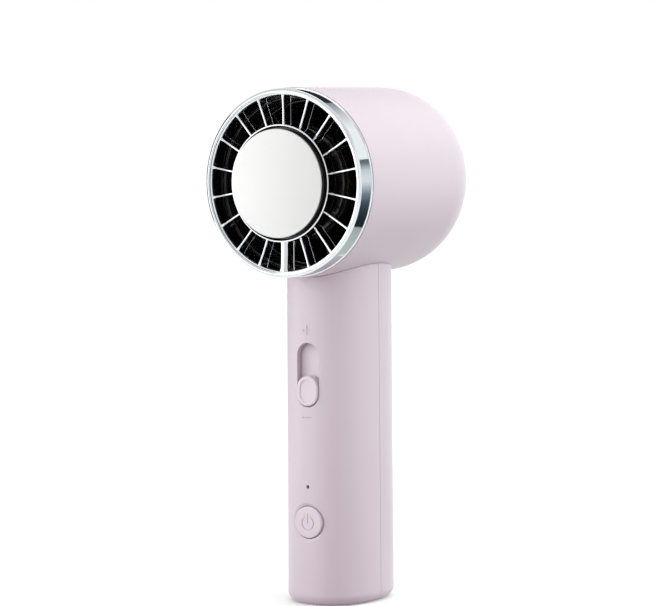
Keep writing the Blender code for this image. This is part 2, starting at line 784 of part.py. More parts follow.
def speed_slider():
    """Knob, the strip that closes the slot behind it, and the wiper that they move."""
    knob = stadium(KNOB_WIDTH, KNOB_LENGTH, 8)
    bm = bmesh.new()
    rings = []
    for y, scale in ((SHUTTER_FRONT - 0.0003, 1.0), (KNOB_FRONT + 0.0005, 1.0), (KNOB_FRONT, 0.92)):
        rings.append([bm.verts.new((u * scale, y, v * scale)) for u, v in knob])
    for y, scale in ((KNOB_FRONT, 0.70), (KNOB_FRONT + 0.0004, 0.62)):
        rings.append([bm.verts.new((u * scale, y, v * scale)) for u, v in knob])
    add_ring(bm, rings)
    bm.faces.new(rings[0])
    bm.faces.new(rings[-1])
    handle = place("slider_knob", bm, pink(), (0, 0, KNOB_Z))
    peg = block("knob_peg", (-0.0020, SHUTTER_FRONT - 0.0010, -0.0020), (0.0020, -0.0170, 0.0020), pink())
    peg.location = (0, 0, KNOB_Z)
    boolean(handle, peg, "UNION")
    low, high = SLOT_LOW - 0.0135 - KNOB_Z, SLOT_HIGH + 0.0010 - KNOB_Z
    low_corner, high_corner = (-0.0060, SHUTTER_FRONT, low), (0.0060, SHUTTER_FRONT + 0.0010, high)
    strip = block("slider_shutter", low_corner, high_corner, pink())
    strip.location = (0, 0, KNOB_Z)
    hole = block("peg_hole", (-0.0022, -0.025, -0.0022), (0.0022, -0.015, 0.0022), pink())
    hole.location = (0, 0, KNOB_Z)
    boolean(strip, hole)
    wiper = block("slider_wiper", (-0.0015, -0.0168, -0.0015), (0.0015, -0.0140, 0.0015), black())
    wiper.location = (0, 0, KNOB_Z)
    body = block("slider_track", (-0.0045, -0.0164, 0.0745), (0.0045, PART_BACK, 0.1040), steel())
    groove = block("track_groove", (-0.0018, -0.0180, 0.0765), (0.0018, -0.0137, 0.1020), steel())
    return boolean(body, groove)


def power_button():
    """Round cap with a flange behind the wall, a switch with its plunger, and the light beside them."""
    cap = [
        (0, BUTTON_FRONT),
        (BUTTON_RADIUS - 0.0006, BUTTON_FRONT),
        (BUTTON_RADIUS, BUTTON_FRONT + 0.0005),
        (BUTTON_RADIUS, -0.0185),
        (0.0074, -0.0185),
        (0.0074, -0.0176),
        (0.0016, -0.0176),
        (0.0016, -0.0163),
        (0, -0.0163),
    ]
    turned("power_button", cap, pink(), (0, 0, BUTTON_Z), (-pi / 2, 0, 0), 24)
    plunger = [(0, -0.0160), (0.0016, -0.0160), (0.0016, -0.0147), (0, -0.0147)]
    turned("switch_plunger", plunger, black(), (0, 0, BUTTON_Z), steps=16)
    switch = (0.0030, 0.0030)
    low = (-switch[0], -0.0150, BUTTON_Z - switch[1])
    high = (switch[0], PART_BACK, BUTTON_Z + switch[1])
    body = block("power_switch", low, high, steel())
    well = [(0, -0.0160), (0.0018, -0.0160), (0.0018, -0.0135), (0, -0.0135)]
    boolean(body, turned("plunger_well", well, steel(), (0, 0, BUTTON_Z), steps=16))
    pipe = [(0, -0.02265), (0.00058, -0.02265), (0.00058, -0.0135), (0, -0.0135)]
    smoke = material("smoke_lens", (0.05, 0.03, 0.035), 0.15)
    turned("indicator_lens", pipe, smoke, (0, 0, LIGHT_Z), steps=12)
    chip = (0.0008, 0.0005)
    block(
        "indicator_chip",
        (-chip[0], -0.0130, LIGHT_Z - chip[1]),
        (chip[0], PART_BACK, LIGHT_Z + chip[1]),
        material("chip_white", WHITE, 0.4),
    )


def electronics():
    """The main board with its chips and screws, and the charging socket on a small board."""
    board_green = material("circuit_board", GREEN, 0.4)
    chip = material("chip_black", (0.02, 0.02, 0.02), 0.4)
    board = block("main_board", (-0.0110, BOARD_FRONT, 0.0240), (0.0110, BOARD_BACK, 0.1080), board_green)
    for i, z in enumerate((0.0640, 0.1060)):
        boolean(board, prism(f"board_hole_{i}", moved(circle(0.0011, 12), 0.0085, z), -0.02, 0, chip, "Y"))
        screw = [(0, -0.0126), (0.0017, -0.0126), (0.0017, PART_BACK), (0.0008, PART_BACK)]
        screw += [(0.0008, -0.0085), (0, -0.0085)]
        turned(f"board_screw_{i + 1}", screw, steel(), (0.0085, 0, z), steps=12)
    parts = (
        ("control_chip", (-0.0090, -0.0130, 0.0480), (-0.0040, PART_BACK, 0.0530)),
        ("charge_chip", (0.0030, -0.0130, 0.0520), (0.0070, PART_BACK, 0.0560)),
        ("boost_coil", (-0.0085, -0.0150, 0.0570), (-0.0025, PART_BACK, 0.0630)),
    )
    for name, low, high in parts:
        block(name, low, high, chip)
    can = [(0, -0.0165), (0.0024, -0.0165), (0.0024, PART_BACK), (0, PART_BACK)]
    turned("smoothing_capacitor", can, material("can", STEEL, 0.3, 1.0), (0.0065, 0, 0.0440), steps=16)
    low, high = (-0.0070, 0.0060, SOCKET_Z - 0.0030), (0.0070, 0.0180, SOCKET_Z - 0.0019)
    block("socket_board", low, high, board_green)
    outline = moved(swapped(stadium(SOCKET_HEIGHT, SOCKET_WIDTH, 6)), 0, SOCKET_Z)
    shell = prism("usb_c_shell", outline, 0.0146, 0.0222, steel(), "Y")
    inner = moved(swapped(stadium(SOCKET_HEIGHT - 0.0006, SOCKET_WIDTH - 0.0006, 6)), 0, SOCKET_Z)
    boolean(shell, prism("socket_room", inner, 0.0156, 0.0240, steel(), "Y"))
    tongue = (0.0033, 0.00035)
    low = (-tongue[0], 0.0159, SOCKET_Z - tongue[1])
    block("usb_c_tongue", low, (tongue[0], 0.0212, SOCKET_Z + tongue[1]), black())


def battery():
    """A round cell in an open cradle, with a metal tab on each end."""
    spot = (0, CELL_Y, 0)
    cell = [
        (0, CELL_LOW),
        (CELL_RADIUS - 0.0005, CELL_LOW),
        (CELL_RADIUS, CELL_LOW + 0.0008),
        (CELL_RADIUS, CELL_HIGH - 0.0008),
        (CELL_RADIUS - 0.0010, CELL_HIGH),
        (0, CELL_HIGH),
    ]
    turned("battery_cell", cell, material("cell_wrap", (0.05, 0.18, 0.35), 0.35), spot, (0, 0, 0), 32)
    nickel = material("nickel", STEEL, 0.25, 1.0)
    for name, low in (("battery_tab_low", CELL_LOW - 0.0006), ("battery_tab_high", CELL_HIGH + 0.0003)):
        block(name, (-0.0030, CELL_Y - 0.0050, low), (0.0030, CELL_Y + 0.0050, low + 0.0003), nickel)
    steps, half = 12, radians(100)
    angles = [pi / 2 - half + 2 * half * i / steps for i in range(steps + 1)]
    near, far = CELL_RADIUS + 0.0003, CELL_RADIUS + 0.0013
    outline = [(far * cos(a), far * sin(a)) for a in angles]
    outline += [(near * cos(a), near * sin(a)) for a in reversed(angles)]
    prism("battery_cradle", outline, CELL_LOW + 0.0030, CELL_HIGH - 0.0030, black(), centre=spot)


def smooth_route(points, count):
    """A smooth curve through the route's own points, read at even steps (Catmull-Rom)."""
    points = [Vector(point) for point in points]
    points = [2 * points[0] - points[1], *points, 2 * points[-1] - points[-2]]
    spans = len(points) - 3
    route = []
    for i in range(count):
        at = spans * i / (count - 1)
        k = min(int(at), spans - 1)
        t = at - k
        a, b, c, d = points[k : k + 4]
        route.append(
            0.5 * (2 * b + (c - a) * t + (2 * a - 5 * b + 4 * c - d) * t**2 + (3 * b - a - 3 * c + d) * t**3)
        )
    return route


def lead(name, points, radius, finish, count=24):
    """A wire held inside the fan, as a bevelled curve with filled ends."""
    curve = bpy.data.curves.new(name, "CURVE")
    curve.dimensions = "3D"
    curve.bevel_depth = radius
    curve.bevel_resolution = 1
    curve.use_fill_caps = True
    spline = curve.splines.new("POLY")
    route = smooth_route(points, count)
    spline.points.add(count - 1)
    for point, where in zip(spline.points, route):
        point.co = (*where, 1)
    curve.materials.append(finish)
    made = bpy.data.objects.new(name, curve)
    bpy.context.scene.collection.objects.link(made)
    return made


def under_duct(x, y):
    """A point midway between the duct and the head shell, at the bottom."""
    radius = (DUCT_OUTER + HEAD_RADIUS - SHELL_WALL) / 2
    return (x, y, HEAD_Z - (radius**2 - x**2) ** 0.5)


def leads():
    """Motor leads up into the hub, plate leads up behind the wide vane, and cell leads."""
    motor_route = [
        (-0.0045, -0.0085, 0.1070),
        (-0.0020, -0.0050, 0.1130),
        (0, MOTOR_LEAD_Y, 0.1190),
        (0, MOTOR_LEAD_Y, 0.1300),
        (0, MOTOR_LEAD_Y, 0.1380),
        (0, MOTOR_LEAD_Y, 0.1466),
    ]
    lead("motor_leads", motor_route, 0.0006, material("lead_black", DARK, 0.5), 20)
    behind_vanes = HEAD_SHIFT - 0.0312
    plate_route = [
        (0.0050, -0.0085, 0.1070),
        (0.0036, -0.0040, 0.1130),
        (0.0030, -0.0012, 0.1200),
        (0.0030, -0.0012, 0.1270),
        (0.0031, -0.0018, 0.1292),
        under_duct(PLATE_LEAD_X, -0.0045),
        under_duct(PLATE_LEAD_X, -0.0110),
        under_duct(PLATE_LEAD_X, -0.0160),
        under_duct(0.0010, -0.0230),
        under_duct(0, -0.0280),
        under_duct(0, -0.0306),
        (0, behind_vanes - 0.0001, HEAD_Z - 0.0330),
        (0, behind_vanes, HEAD_Z - 0.0316),
        (0, behind_vanes, HEAD_Z - 0.0290),
        (0, behind_vanes, HEAD_Z - 0.0240),
        (0, behind_vanes - 0.0004, HEAD_Z - 0.0206),
        (0, -0.0345, HEAD_Z - 0.0194),
        (0, -0.0368, HEAD_Z - 0.0180),
        (0, -0.0380, HEAD_Z - 0.0155),
        (0, -0.0383, HEAD_Z - 0.0121),
    ]
    lead("plate_leads", plate_route, 0.00045, material("lead_red", RED, 0.45), 46)
    cell_route = [
        (0.0060, -0.0094, 0.0300),
        (0.0058, -0.0078, 0.0240),
        (0.0045, -0.0030, 0.0212),
        (0.0018, 0.0030, 0.0215),
        (0, 0.0048, 0.0236),
    ]
    lead("cell_leads", cell_route, 0.0005, material("lead_red", RED, 0.45), 14)


def head_pieces():
    head_shell()
    rear_grille()
    trim_ring()
    front_grille()
    cooling_stack()
    air_duct()
    guide_vanes()
    hub_nose()
    motor()
    impeller()
    impeller_cap()


def handle_pieces():
    handle_shells()
    base_pad()
    speed_slider()
    power_button()
    electronics()
    battery()


def main():
    clear_scene()
    head_pieces()
    neck()
    handle_pieces()
    leads()


main()
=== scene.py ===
"""Looks of the handheld electric fan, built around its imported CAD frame.

Metres, in the frame's own axes: the fan stands at the origin and blows towards -Y. Head pieces are
turned about the rotor's axis, with their axial places measured from the rotor joint's centre.
"""

import json
from math import acos, atan2, cos, hypot, pi, radians, sin

import bmesh
import bpy
from mathutils import Matrix, Vector


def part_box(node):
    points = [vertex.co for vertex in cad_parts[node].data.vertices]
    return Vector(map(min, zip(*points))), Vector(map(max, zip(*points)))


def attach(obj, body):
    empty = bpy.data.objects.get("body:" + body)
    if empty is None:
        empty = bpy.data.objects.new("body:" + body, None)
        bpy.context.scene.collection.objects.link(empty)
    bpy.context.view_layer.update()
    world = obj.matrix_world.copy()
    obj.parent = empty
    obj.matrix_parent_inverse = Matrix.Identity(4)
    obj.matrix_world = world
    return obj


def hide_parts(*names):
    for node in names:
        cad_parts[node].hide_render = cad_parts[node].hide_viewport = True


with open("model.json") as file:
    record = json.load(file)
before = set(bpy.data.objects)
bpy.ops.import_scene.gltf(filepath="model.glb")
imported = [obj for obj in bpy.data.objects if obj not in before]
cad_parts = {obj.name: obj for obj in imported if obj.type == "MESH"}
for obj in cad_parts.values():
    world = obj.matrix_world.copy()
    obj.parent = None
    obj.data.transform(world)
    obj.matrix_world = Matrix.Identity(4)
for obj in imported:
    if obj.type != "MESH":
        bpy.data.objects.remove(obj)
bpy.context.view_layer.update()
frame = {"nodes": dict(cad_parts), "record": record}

# ---------------------------------------------------------------- sizes, from the frame


def low_high(node, axis):
    low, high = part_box(node)
    return low[axis], high[axis]


def joint_centre(name):
    for joint in frame["record"]["behaviour"]["joints"]:
        if joint["name"] == name:
            return Vector(joint["pos_m"])
    raise ValueError(name)


HEAD = joint_centre("rotor_spin")
HEAD_RADIUS = low_high("head_shell", 0)[1]
SHELL_WALL = 0.0018
SHELL_FRONT = low_high("head_shell", 1)[0] - HEAD.y
DOME_START = 0.02695
DOME_END = low_high("rear_grille", 1)[1] - HEAD.y
DOME_POWER = 2.45
INTAKE_RADIUS = low_high("rear_grille", 0)[1] + 0.0003
LIP_FRONT = low_high("trim_ring", 1)[0] - HEAD.y
PLATE_FRONT = low_high("cold_plate", 1)[0] - HEAD.y
PLATE_RADIUS = low_high("cold_plate", 0)[1]
DUCT_OUTER = 0.0331
DUCT_INNER = 0.0320
HUB_RADIUS = 0.0220

HANDLE_HALF_X = 0.01835
HANDLE_HALF_Y = 0.02298
HANDLE_POWER = 2.3
HANDLE_TAPER = 0.00049 / 0.130
HANDLE_WALL = 0.0022
BASE_FILLET = 0.0038
SHELL_BOTTOM = low_high("handle_front_shell", 2)[0]
SPLIT_Y = 0.0005
HALF_SPLIT = 0.00009
SLOT_LOW = 0.0771
SLOT_HIGH = 0.1019
SLOT_WIDTH = 0.0104
KNOB_LOW, KNOB_HIGH = low_high("slider_knob", 2)
KNOB_FRONT, KNOB_BACK = -0.0231, -0.0195
KNOB_WIDTH = 2 * low_high("slider_knob", 0)[1]
BUTTON_Z = sum(low_high("power_button", 2)) / 2
BUTTON_HOLE = 0.0065
BUTTON_RADIUS = 0.0062
BUTTON_FRONT = low_high("power_button", 1)[0]
LIGHT_Z = sum(low_high("indicator_lens", 2)) / 2
PLUS_Z = 0.1068
MINUS_Z = 0.0731
SOCKET_Z = sum(low_high("usb_c_shell", 2)) / 2
SOCKET_WIDTH = 2 * low_high("usb_c_shell", 0)[1]
SOCKET_HEIGHT = 0.0032
NECK_Y = 0.0110
MOTOR_LEAD_Y = -0.0030

# ---------------------------------------------------------------- materials


class Nodes:
    """A small helper to lay out one material's nodes."""

    def __init__(self, name):
        self.material = bpy.data.materials.new(name)
        self.material.use_nodes = True
        self.tree = self.material.node_tree
        self.shader = self.tree.nodes["Principled BSDF"]
        self.place = self.add("ShaderNodeTexCoord").outputs["Object"]

    def add(self, kind, **settings):
        node = self.tree.nodes.new(kind)
        for key, value in settings.items():
            setattr(node, key, value)
        return node

    def link(self, source, target):
        self.tree.links.new(source, target)

    def noise(self, scale, detail=3.0, stretch=None):
        """Noise at so many cells a metre, drawn out along an axis by stretch."""
        node = self.add("ShaderNodeTexNoise")
        node.inputs["Scale"].default_value = scale
        node.inputs["Detail"].default_value = detail
        place = self.place
        if stretch:
            mapping = self.add("ShaderNodeMapping")
            mapping.inputs["Scale"].default_value = stretch
            self.link(place, mapping.inputs["Vector"])
            place = mapping.outputs["Vector"]
        self.link(place, node.inputs["Vector"])
        return node.outputs["Fac"]

    def ramp(self, value, low, high, start=0.3, end=0.7):
        """A colour or grey value that runs from low to high."""
        node = self.add("ShaderNodeValToRGB")
        first, last = node.color_ramp.elements
        first.position, last.position = start, end
        first.color = (*low, 1) if isinstance(low, tuple) else (low, low, low, 1)
        last.color = (*high, 1) if isinstance(high, tuple) else (high, high, high, 1)
        self.link(value, node.inputs["Fac"])
        return node.outputs["Color"]

    def bump(self, height, strength, distance):
        node = self.add("ShaderNodeBump")
        node.inputs["Strength"].default_value = strength
        node.inputs["Distance"].default_value = distance
        self.link(height, node.inputs["Height"])
        self.link(node.outputs["Normal"], self.shader.inputs["Normal"])

    def set(self, **values):
        for key, value in values.items():
            self.shader.inputs[key.replace("_", " ")].default_value = value

    def colour(self, output):
        self.link(output, self.shader.inputs["Base Color"])

    def roughness(self, output):
        self.link(output, self.shader.inputs["Roughness"])


def moulded(name, low, high, rough, grain_height=0.000006, sheen=0.0):
    """Moulded plastic: a faint cloud in its colour, and a fine spark-eroded grain."""
    n = Nodes(name)
    n.colour(n.ramp(n.noise(35, 2), low, high))
    n.roughness(n.ramp(n.noise(900, 2), rough - 0.03, rough + 0.03))
    n.bump(n.noise(5200, 2), 0.35, grain_height)
    n.set(Metallic=0.0, Sheen_Weight=sheen, Sheen_Roughness=0.45)
    return n.material


def pink_shell():
    return moulded("pink_shell", (0.498, 0.412, 0.465), (0.510, 0.423, 0.477), 0.44, sheen=0.2)


def pink_control():
    return moulded("pink_control", (0.545, 0.456, 0.512), (0.557, 0.468, 0.524), 0.42, 0.000004, sheen=0.2)


def polished(name, tint, rough=0.05, smudge=0.05):
    """Polished metal with the faint haze that handling leaves."""
    n = Nodes(name)
    n.colour(n.ramp(n.noise(60, 3), tuple(0.985 * c for c in tint), tint))
    n.roughness(n.ramp(n.noise(240, 4), rough, rough + smudge, 0.45, 0.8))
    n.bump(n.noise(110, 1), 0.05, 0.00002)
    n.set(Metallic=1.0)
    return n.material


def satin_plate():
    """Bead-blasted aluminium with a pearl-like even sheen."""
    n = Nodes("plate_metal")
    n.colour(n.ramp(n.noise(40, 2), (0.480, 0.478, 0.472), (0.496, 0.494, 0.488)))
    n.roughness(n.ramp(n.noise(1500, 2), 0.33, 0.40))
    n.bump(n.noise(7000, 2), 0.25, 0.000004)
    n.set(Metallic=1.0)
    return n.material


def brushed(name, tint, rough=0.28, stretch=(1, 12, 1)):
    """Drawn or rolled metal, with fine lines along one axis."""
    n = Nodes(name)
    lines = n.noise(900, 4, stretch)
    n.colour(n.ramp(lines, tuple(0.9 * c for c in tint), tint))
    n.roughness(n.ramp(lines, rough - 0.06, rough + 0.1))
    n.bump(lines, 0.15, 0.00001)
    n.set(Metallic=1.0)
    return n.material


def ribbed(name, low, high, turns_per_metre, metallic=0.0, rough=0.4):
    """Fine parallel ribs, as on wound wire or stacked sheets."""
    n = Nodes(name)
    wave = n.add("ShaderNodeTexWave", wave_type="BANDS", bands_direction="Y")
    wave.inputs["Scale"].default_value = turns_per_metre
    wave.inputs["Distortion"].default_value = 0.4
    n.link(n.place, wave.inputs["Vector"])
    n.colour(n.ramp(wave.outputs["Fac"], low, high, 0.2, 0.8))
    n.bump(wave.outputs["Fac"], 0.4, 0.00005)
    n.set(Metallic=metallic, Roughness=rough)
    return n.material


def circuit_board():
    """Green solder mask over the faint relief of copper tracks."""
    n = Nodes("circuit_board")
    bricks = n.add("ShaderNodeTexBrick", offset=0.3, squash=0.6)
    bricks.inputs["Scale"].default_value = 420
    bricks.inputs["Mortar Size"].default_value = 0.03
    bricks.inputs["Color1"].default_value = (0.02, 0.14, 0.07, 1)
    bricks.inputs["Color2"].default_value = (0.025, 0.17, 0.085, 1)
    bricks.inputs["Mortar"].default_value = (0.05, 0.26, 0.13, 1)
    n.link(n.place, bricks.inputs["Vector"])
    n.colour(bricks.outputs["Color"])
    n.bump(bricks.outputs["Fac"], 0.3, 0.00003)
    n.set(Roughness=0.32)
    return n.material


def rubber(name, shade):
    n = Nodes(name)
    n.colour(n.ramp(n.noise(300, 3), tuple(0.85 * c for c in shade), shade))
    n.roughness(n.ramp(n.noise(1800, 2), 0.62, 0.78))
    n.bump(n.noise(3200, 3), 0.5, 0.00002)
    return n.material


def smoked_lens():
    n = Nodes("lens_smoke")
    n.colour(n.ramp(n.noise(900, 2), (0.030, 0.020, 0.022), (0.045, 0.030, 0.034)))
    n.set(Roughness=0.12)
    return n.material


def make_finishes():
    """One material for each of the record's slots."""
    return {
        "pink_shell": pink_shell(),
        "pink_control": pink_control(),
        "chrome_trim": polished("chrome_trim", (0.62, 0.64, 0.66)),
        "plate_metal": satin_plate(),
        "black_plastic": moulded("black_plastic", (0.010, 0.0085, 0.008), (0.018, 0.015, 0.014), 0.22, 0.000001),
        "sink_metal": brushed("sink_metal", (0.05, 0.05, 0.055), 0.35),
        "thermal_pad": rubber("thermal_pad", (0.30, 0.30, 0.32)),
        "ceramic": moulded("ceramic", (0.74, 0.74, 0.72), (0.80, 0.80, 0.78), 0.45),
        "steel": brushed("steel", (0.58, 0.58, 0.60)),
        "magnet": moulded("magnet", (0.08, 0.08, 0.085), (0.13, 0.13, 0.14), 0.4),
        "lamination": ribbed("lamination", (0.20, 0.20, 0.21), (0.34, 0.34, 0.35), 900, 0.9),
        "copper": ribbed("copper", (0.40, 0.13, 0.05), (0.80, 0.36, 0.16), 700, 1.0, 0.3),
        "brass": brushed("brass", (0.76, 0.58, 0.28)),
        "circuit_board": circuit_board(),
        "chip_black": moulded("chip_black", (0.012, 0.012, 0.012), (0.022, 0.022, 0.022), 0.5),
        "can_metal": brushed("can_metal", (0.62, 0.62, 0.64), 0.22),
        "cell_wrap": moulded("cell_wrap", (0.03, 0.15, 0.33), (0.04, 0.19, 0.38), 0.3),
        "nickel": brushed("nickel", (0.62, 0.60, 0.55), 0.25),
        "lens_smoke": smoked_lens(),
        "chip_white": moulded("chip_white", (0.74, 0.74, 0.70), (0.82, 0.82, 0.78), 0.35),
        "lead_black": rubber("lead_black", (0.02, 0.02, 0.022)),
        "lead_red": rubber("lead_red", (0.48, 0.03, 0.025)),
        "rubber_foot": rubber("rubber_foot", (0.16, 0.13, 0.145)),
    }


finishes = make_finishes()

# ---------------------------------------------------------------- mesh tools

ALONG_Y = Matrix.Rotation(-pi / 2, 4, "X")
TO_HEAD = Matrix.Translation(HEAD) @ ALONG_Y
SMOOTH_ANGLE = radians(32)


def add_object(name, bm, transform=Matrix.Identity(4)):
    """A bmesh as an object, with its place in its mesh and its faces pointing out."""
    bmesh.ops.recalc_face_normals(bm, faces=bm.faces)
    mesh = bpy.data.meshes.new(name)
    bm.to_mesh(mesh)
    bm.free()
    mesh.transform(transform)
    made = bpy.data.objects.new(name, mesh)
    bpy.context.scene.collection.objects.link(made)
    return made


def skin(bm, rings, loop=False):
    """Joins neighbouring rings of vertices. A ring of one vertex is a pole."""
    pairs = list(zip(rings, rings[1:]))
    if loop:
        pairs.append((rings[-1], rings[0]))
    for low, high in pairs:
        count = max(len(low), len(high))
        for i in range(count):
            j = (i + 1) % count
            corners = [low[i % len(low)], low[j % len(low)], high[j % len(high)], high[i % len(high)]]
            bm.faces.new(list(dict.fromkeys(corners)))


def capped(bm, rings):
    skin(bm, rings)
    bm.faces.new(rings[0])
    bm.faces.new(rings[-1])


def filleted(corners, closed=True, steps=5):
    """Rounds an outline's corners. Each corner is (u, v) or (u, v, radius)."""
    points = []
    count = len(corners)
    for i, corner in enumerate(corners):
        here = Vector(corner[:2])
        radius = corner[2] if len(corner) > 2 else 0
        end = not closed and i in (0, count - 1)
        if not radius or end:
            points.append(tuple(here))
            continue
        before = Vector(corners[i - 1][:2]) - here
        after = Vector(corners[(i + 1) % count][:2]) - here
        half = before.angle(after) / 2
        reach = min(radius / abs(sin(half) / cos(half)), 0.49 * before.length, 0.49 * after.length)
        start, stop = here + before.normalized() * reach, here + after.normalized() * reach
        for k in range(steps + 1):
            t = k / steps
            points.append(tuple(start * (1 - t) ** 2 + here * 2 * t * (1 - t) + stop * t**2))
    return points


def turned(name, outline, steps=192):
    """Turns (radius, axial place) points about the head's axis."""
    bm = bmesh.new()
    rings = []
    for radius, height in outline:
        if radius == 0:
            rings.append([bm.verts.new((0, 0, height))])
            continue
        angles = [2 * pi * i / steps for i in range(steps)]
        rings.append([bm.verts.new((radius * cos(a), radius * sin(a), height)) for a in angles])
    skin(bm, rings, loop=outline[0][0] != 0)
    return add_object(name, bm, TO_HEAD)


def capsule(near, far, near_radius, far_radius, grow=0.0, steps=12):
    """The outline round two circles at u = near and u = far, grown evenly."""
    reach = far - near
    turn = acos(max(-1.0, min(1.0, (near_radius - far_radius) / reach))) if reach else pi / 2
    points = []
    for centre, radius, start, stop in (
        (far, far_radius + grow, -turn, turn),
        (near, near_radius + grow, turn, 2 * pi - turn),
    ):
        for k in range(steps + 1):
            a = start + (stop - start) * k / steps
            points.append((centre + radius * cos(a), radius * sin(a)))
    return points


def flared(round_off, floor, steps=5):
    """(grow, depth) levels of a cutter whose mouth is rounded off, from above the surface to its floor."""
    levels = [(round_off * 1.02, -0.0012)]
    for k in range(steps + 1):
        a = pi / 2 * k / steps
        levels.append((round_off * (1 - sin(a)), round_off * (1 - cos(a))))
    levels.append((0.0, floor))
    return levels


def box_mesh(name, low, high):
    bm = bmesh.new()
    corners = [(low[0], low[1]), (high[0], low[1]), (high[0], high[1]), (low[0], high[1])]
    capped(bm, [[bm.verts.new((x, y, z)) for x, y in corners] for z in (low[2], high[2])])
    return add_object(name, bm)


def cut(target, *cutters, operation="DIFFERENCE"):
    """Booleans the target at once, and removes the cutters."""
    for cutter in cutters:
        change = target.modifiers.new(cutter.name, "BOOLEAN")
        change.operation = operation
        change.solver = "EXACT"
        change.object = cutter
    graph = bpy.context.evaluated_depsgraph_get()
    mesh = bpy.data.meshes.new_from_object(target.evaluated_get(graph))
    target.modifiers.clear()
    target.data = mesh
    for cutter in cutters:
        bpy.data.objects.remove(cutter, do_unlink=True)
    return target


def dress(piece, node, slot, body="root", normals=None):
    """Finishes a piece: its shading, material and body, and hides the CAD node it stands for."""
    piece.data.materials.clear()
    piece.data.materials.append(finishes[slot])
    piece.data.shade_smooth()
    piece.data.set_sharp_from_angle(angle=SMOOTH_ANGLE)
    if normals:
        set_normals(piece.data, normals)
    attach(piece, body)
    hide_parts(node)
    return piece


def set_normals(mesh, normal_at):
    """Where a face lies on a known smooth surface, its corners take that surface's own normals."""
    corner_normals = [corner.vector.copy() for corner in mesh.corner_normals]
    for face in mesh.polygons:
        places = [mesh.vertices[v].co for v in face.vertices]
        found = normal_at(face.center, places, face.normal)
        if found:
            for loop, normal in zip(face.loop_indices, found):
                corner_normals[loop] = normal
    mesh.normals_split_custom_set(corner_normals)


def outline_normals(outline, tolerance=0.00004):
    """The normals of a turned surface, for set_normals."""
    points = [Vector(point) for point in outline]
    closed = outline[0][0] != 0
    count = len(points) if closed else len(points) - 1
    spans = []
    for i in range(count):
        a, b = points[i], points[(i + 1) % len(points)]
        if (b - a).length > 1e-7:
            run = (b - a).normalized()
            spans.append((a, b, Vector((run.y, -run.x))))
    ends = []
    for i, (a, b, normal) in enumerate(spans):
        before, after = spans[i - 1][2], spans[(i + 1) % len(spans)][2]
        start = (normal + before).normalized() if normal.dot(before) > 0.8 else normal
        stop = (normal + after).normalized() if normal.dot(after) > 0.8 else normal
        ends.append((start, stop))

    def flat(place):
        return Vector((hypot(place.x - HEAD.x, place.z - HEAD.z), place.y - HEAD.y))

    def normal_at(centre, places, face_normal):
        middle = sum((flat(place) for place in places), Vector((0, 0))) / len(places)
        best = None
        for (a, b, normal), (start, stop) in zip(spans, ends):
            along = b - a
            t = max(0.0, min(1.0, (middle - a).dot(along) / along.length_squared))
            gap = (a + along * t - middle).length
            if best is None or gap < best[0]:
                best = (gap, a, along, normal, start, stop)
        gap, a, along, normal, start, stop = best
        for place in places:
            off = (flat(place) - a).dot(normal)
            if abs(off) > tolerance:
                return None
        found = []
        for place in places:
            t = max(0.0, min(1.0, (flat(place) - a).dot(along) / along.length_squared))
            across = (start * (1 - t) + stop * t).normalized()
            radial = Vector((place.x - HEAD.x, 0, place.z - HEAD.z)).normalized()
            world = radial * across.x + Vector((0, across.y, 0))
            found.append(world if world.dot(face_normal) > 0 else -world)
        if min(normal.dot(face_normal) for normal in found) < 0.97:
            return None
        return found

    return normal_at


# ---------------------------------------------------------------- head, outside


def dome_height(radius, inset=0.0):
    share = (radius / (HEAD_RADIUS - inset)) ** DOME_POWER
    return DOME_START + (DOME_END - DOME_START - inset) * (1 - share) ** (1 / DOME_POWER)


def dome(first_radius, inset=0.0, steps=26):
    """Points of the domed back, from the barrel in to a radius."""
    end = (first_radius / (HEAD_RADIUS - inset)) ** (DOME_POWER / 2)
    last = acos(end)
    points = []
    for i in range(steps):
        a = last * i / (steps - 1)
        radius = (HEAD_RADIUS - inset) * cos(a) ** (2 / DOME_POWER)
        points.append((radius, DOME_START + (DOME_END - DOME_START - inset) * sin(a) ** (2 / DOME_POWER)))
    return points


def upright(name, radius, low, high, y=0.0, steps=32):
    """A vertical round cutter."""
    bm = bmesh.new()
    ring = [(radius * cos(2 * pi * i / steps), radius * sin(2 * pi * i / steps) + y) for i in range(steps)]
    capped(bm, [[bm.verts.new((x, v, z)) for x, v in ring] for z in (low, high)])
    return add_object(name, bm)


def make_head_shell():
    seat = dome_height(INTAKE_RADIUS) - 0.0022
    rim = INTAKE_RADIUS - 0.0018
    outer = dome(INTAKE_RADIUS)
    corners = [
        (HEAD_RADIUS - SHELL_WALL, SHELL_FRONT, 0.0002),
        (HEAD_RADIUS - 0.00002, SHELL_FRONT, 0.0002),
        *outer[:-1],
        (*outer[-1], 0.0004),
        (INTAKE_RADIUS, seat),
        (rim, seat),
        (rim, seat - 0.0016),
        *reversed(dome(0.0245, SHELL_WALL, 16)),
    ]
    outline = filleted(corners)
    shell = turned("head_barrel", outline)
    holes = [upright("lead_hole", 0.0050, 0.120, 0.135)]
    holes += [upright(f"neck_hole_{side}", 0.0013, 0.120, 0.135, side * NECK_Y) for side in (-1, 1)]
    return dress(cut(shell, *holes), "head_shell", "pink_shell", normals=outline_normals(outline))


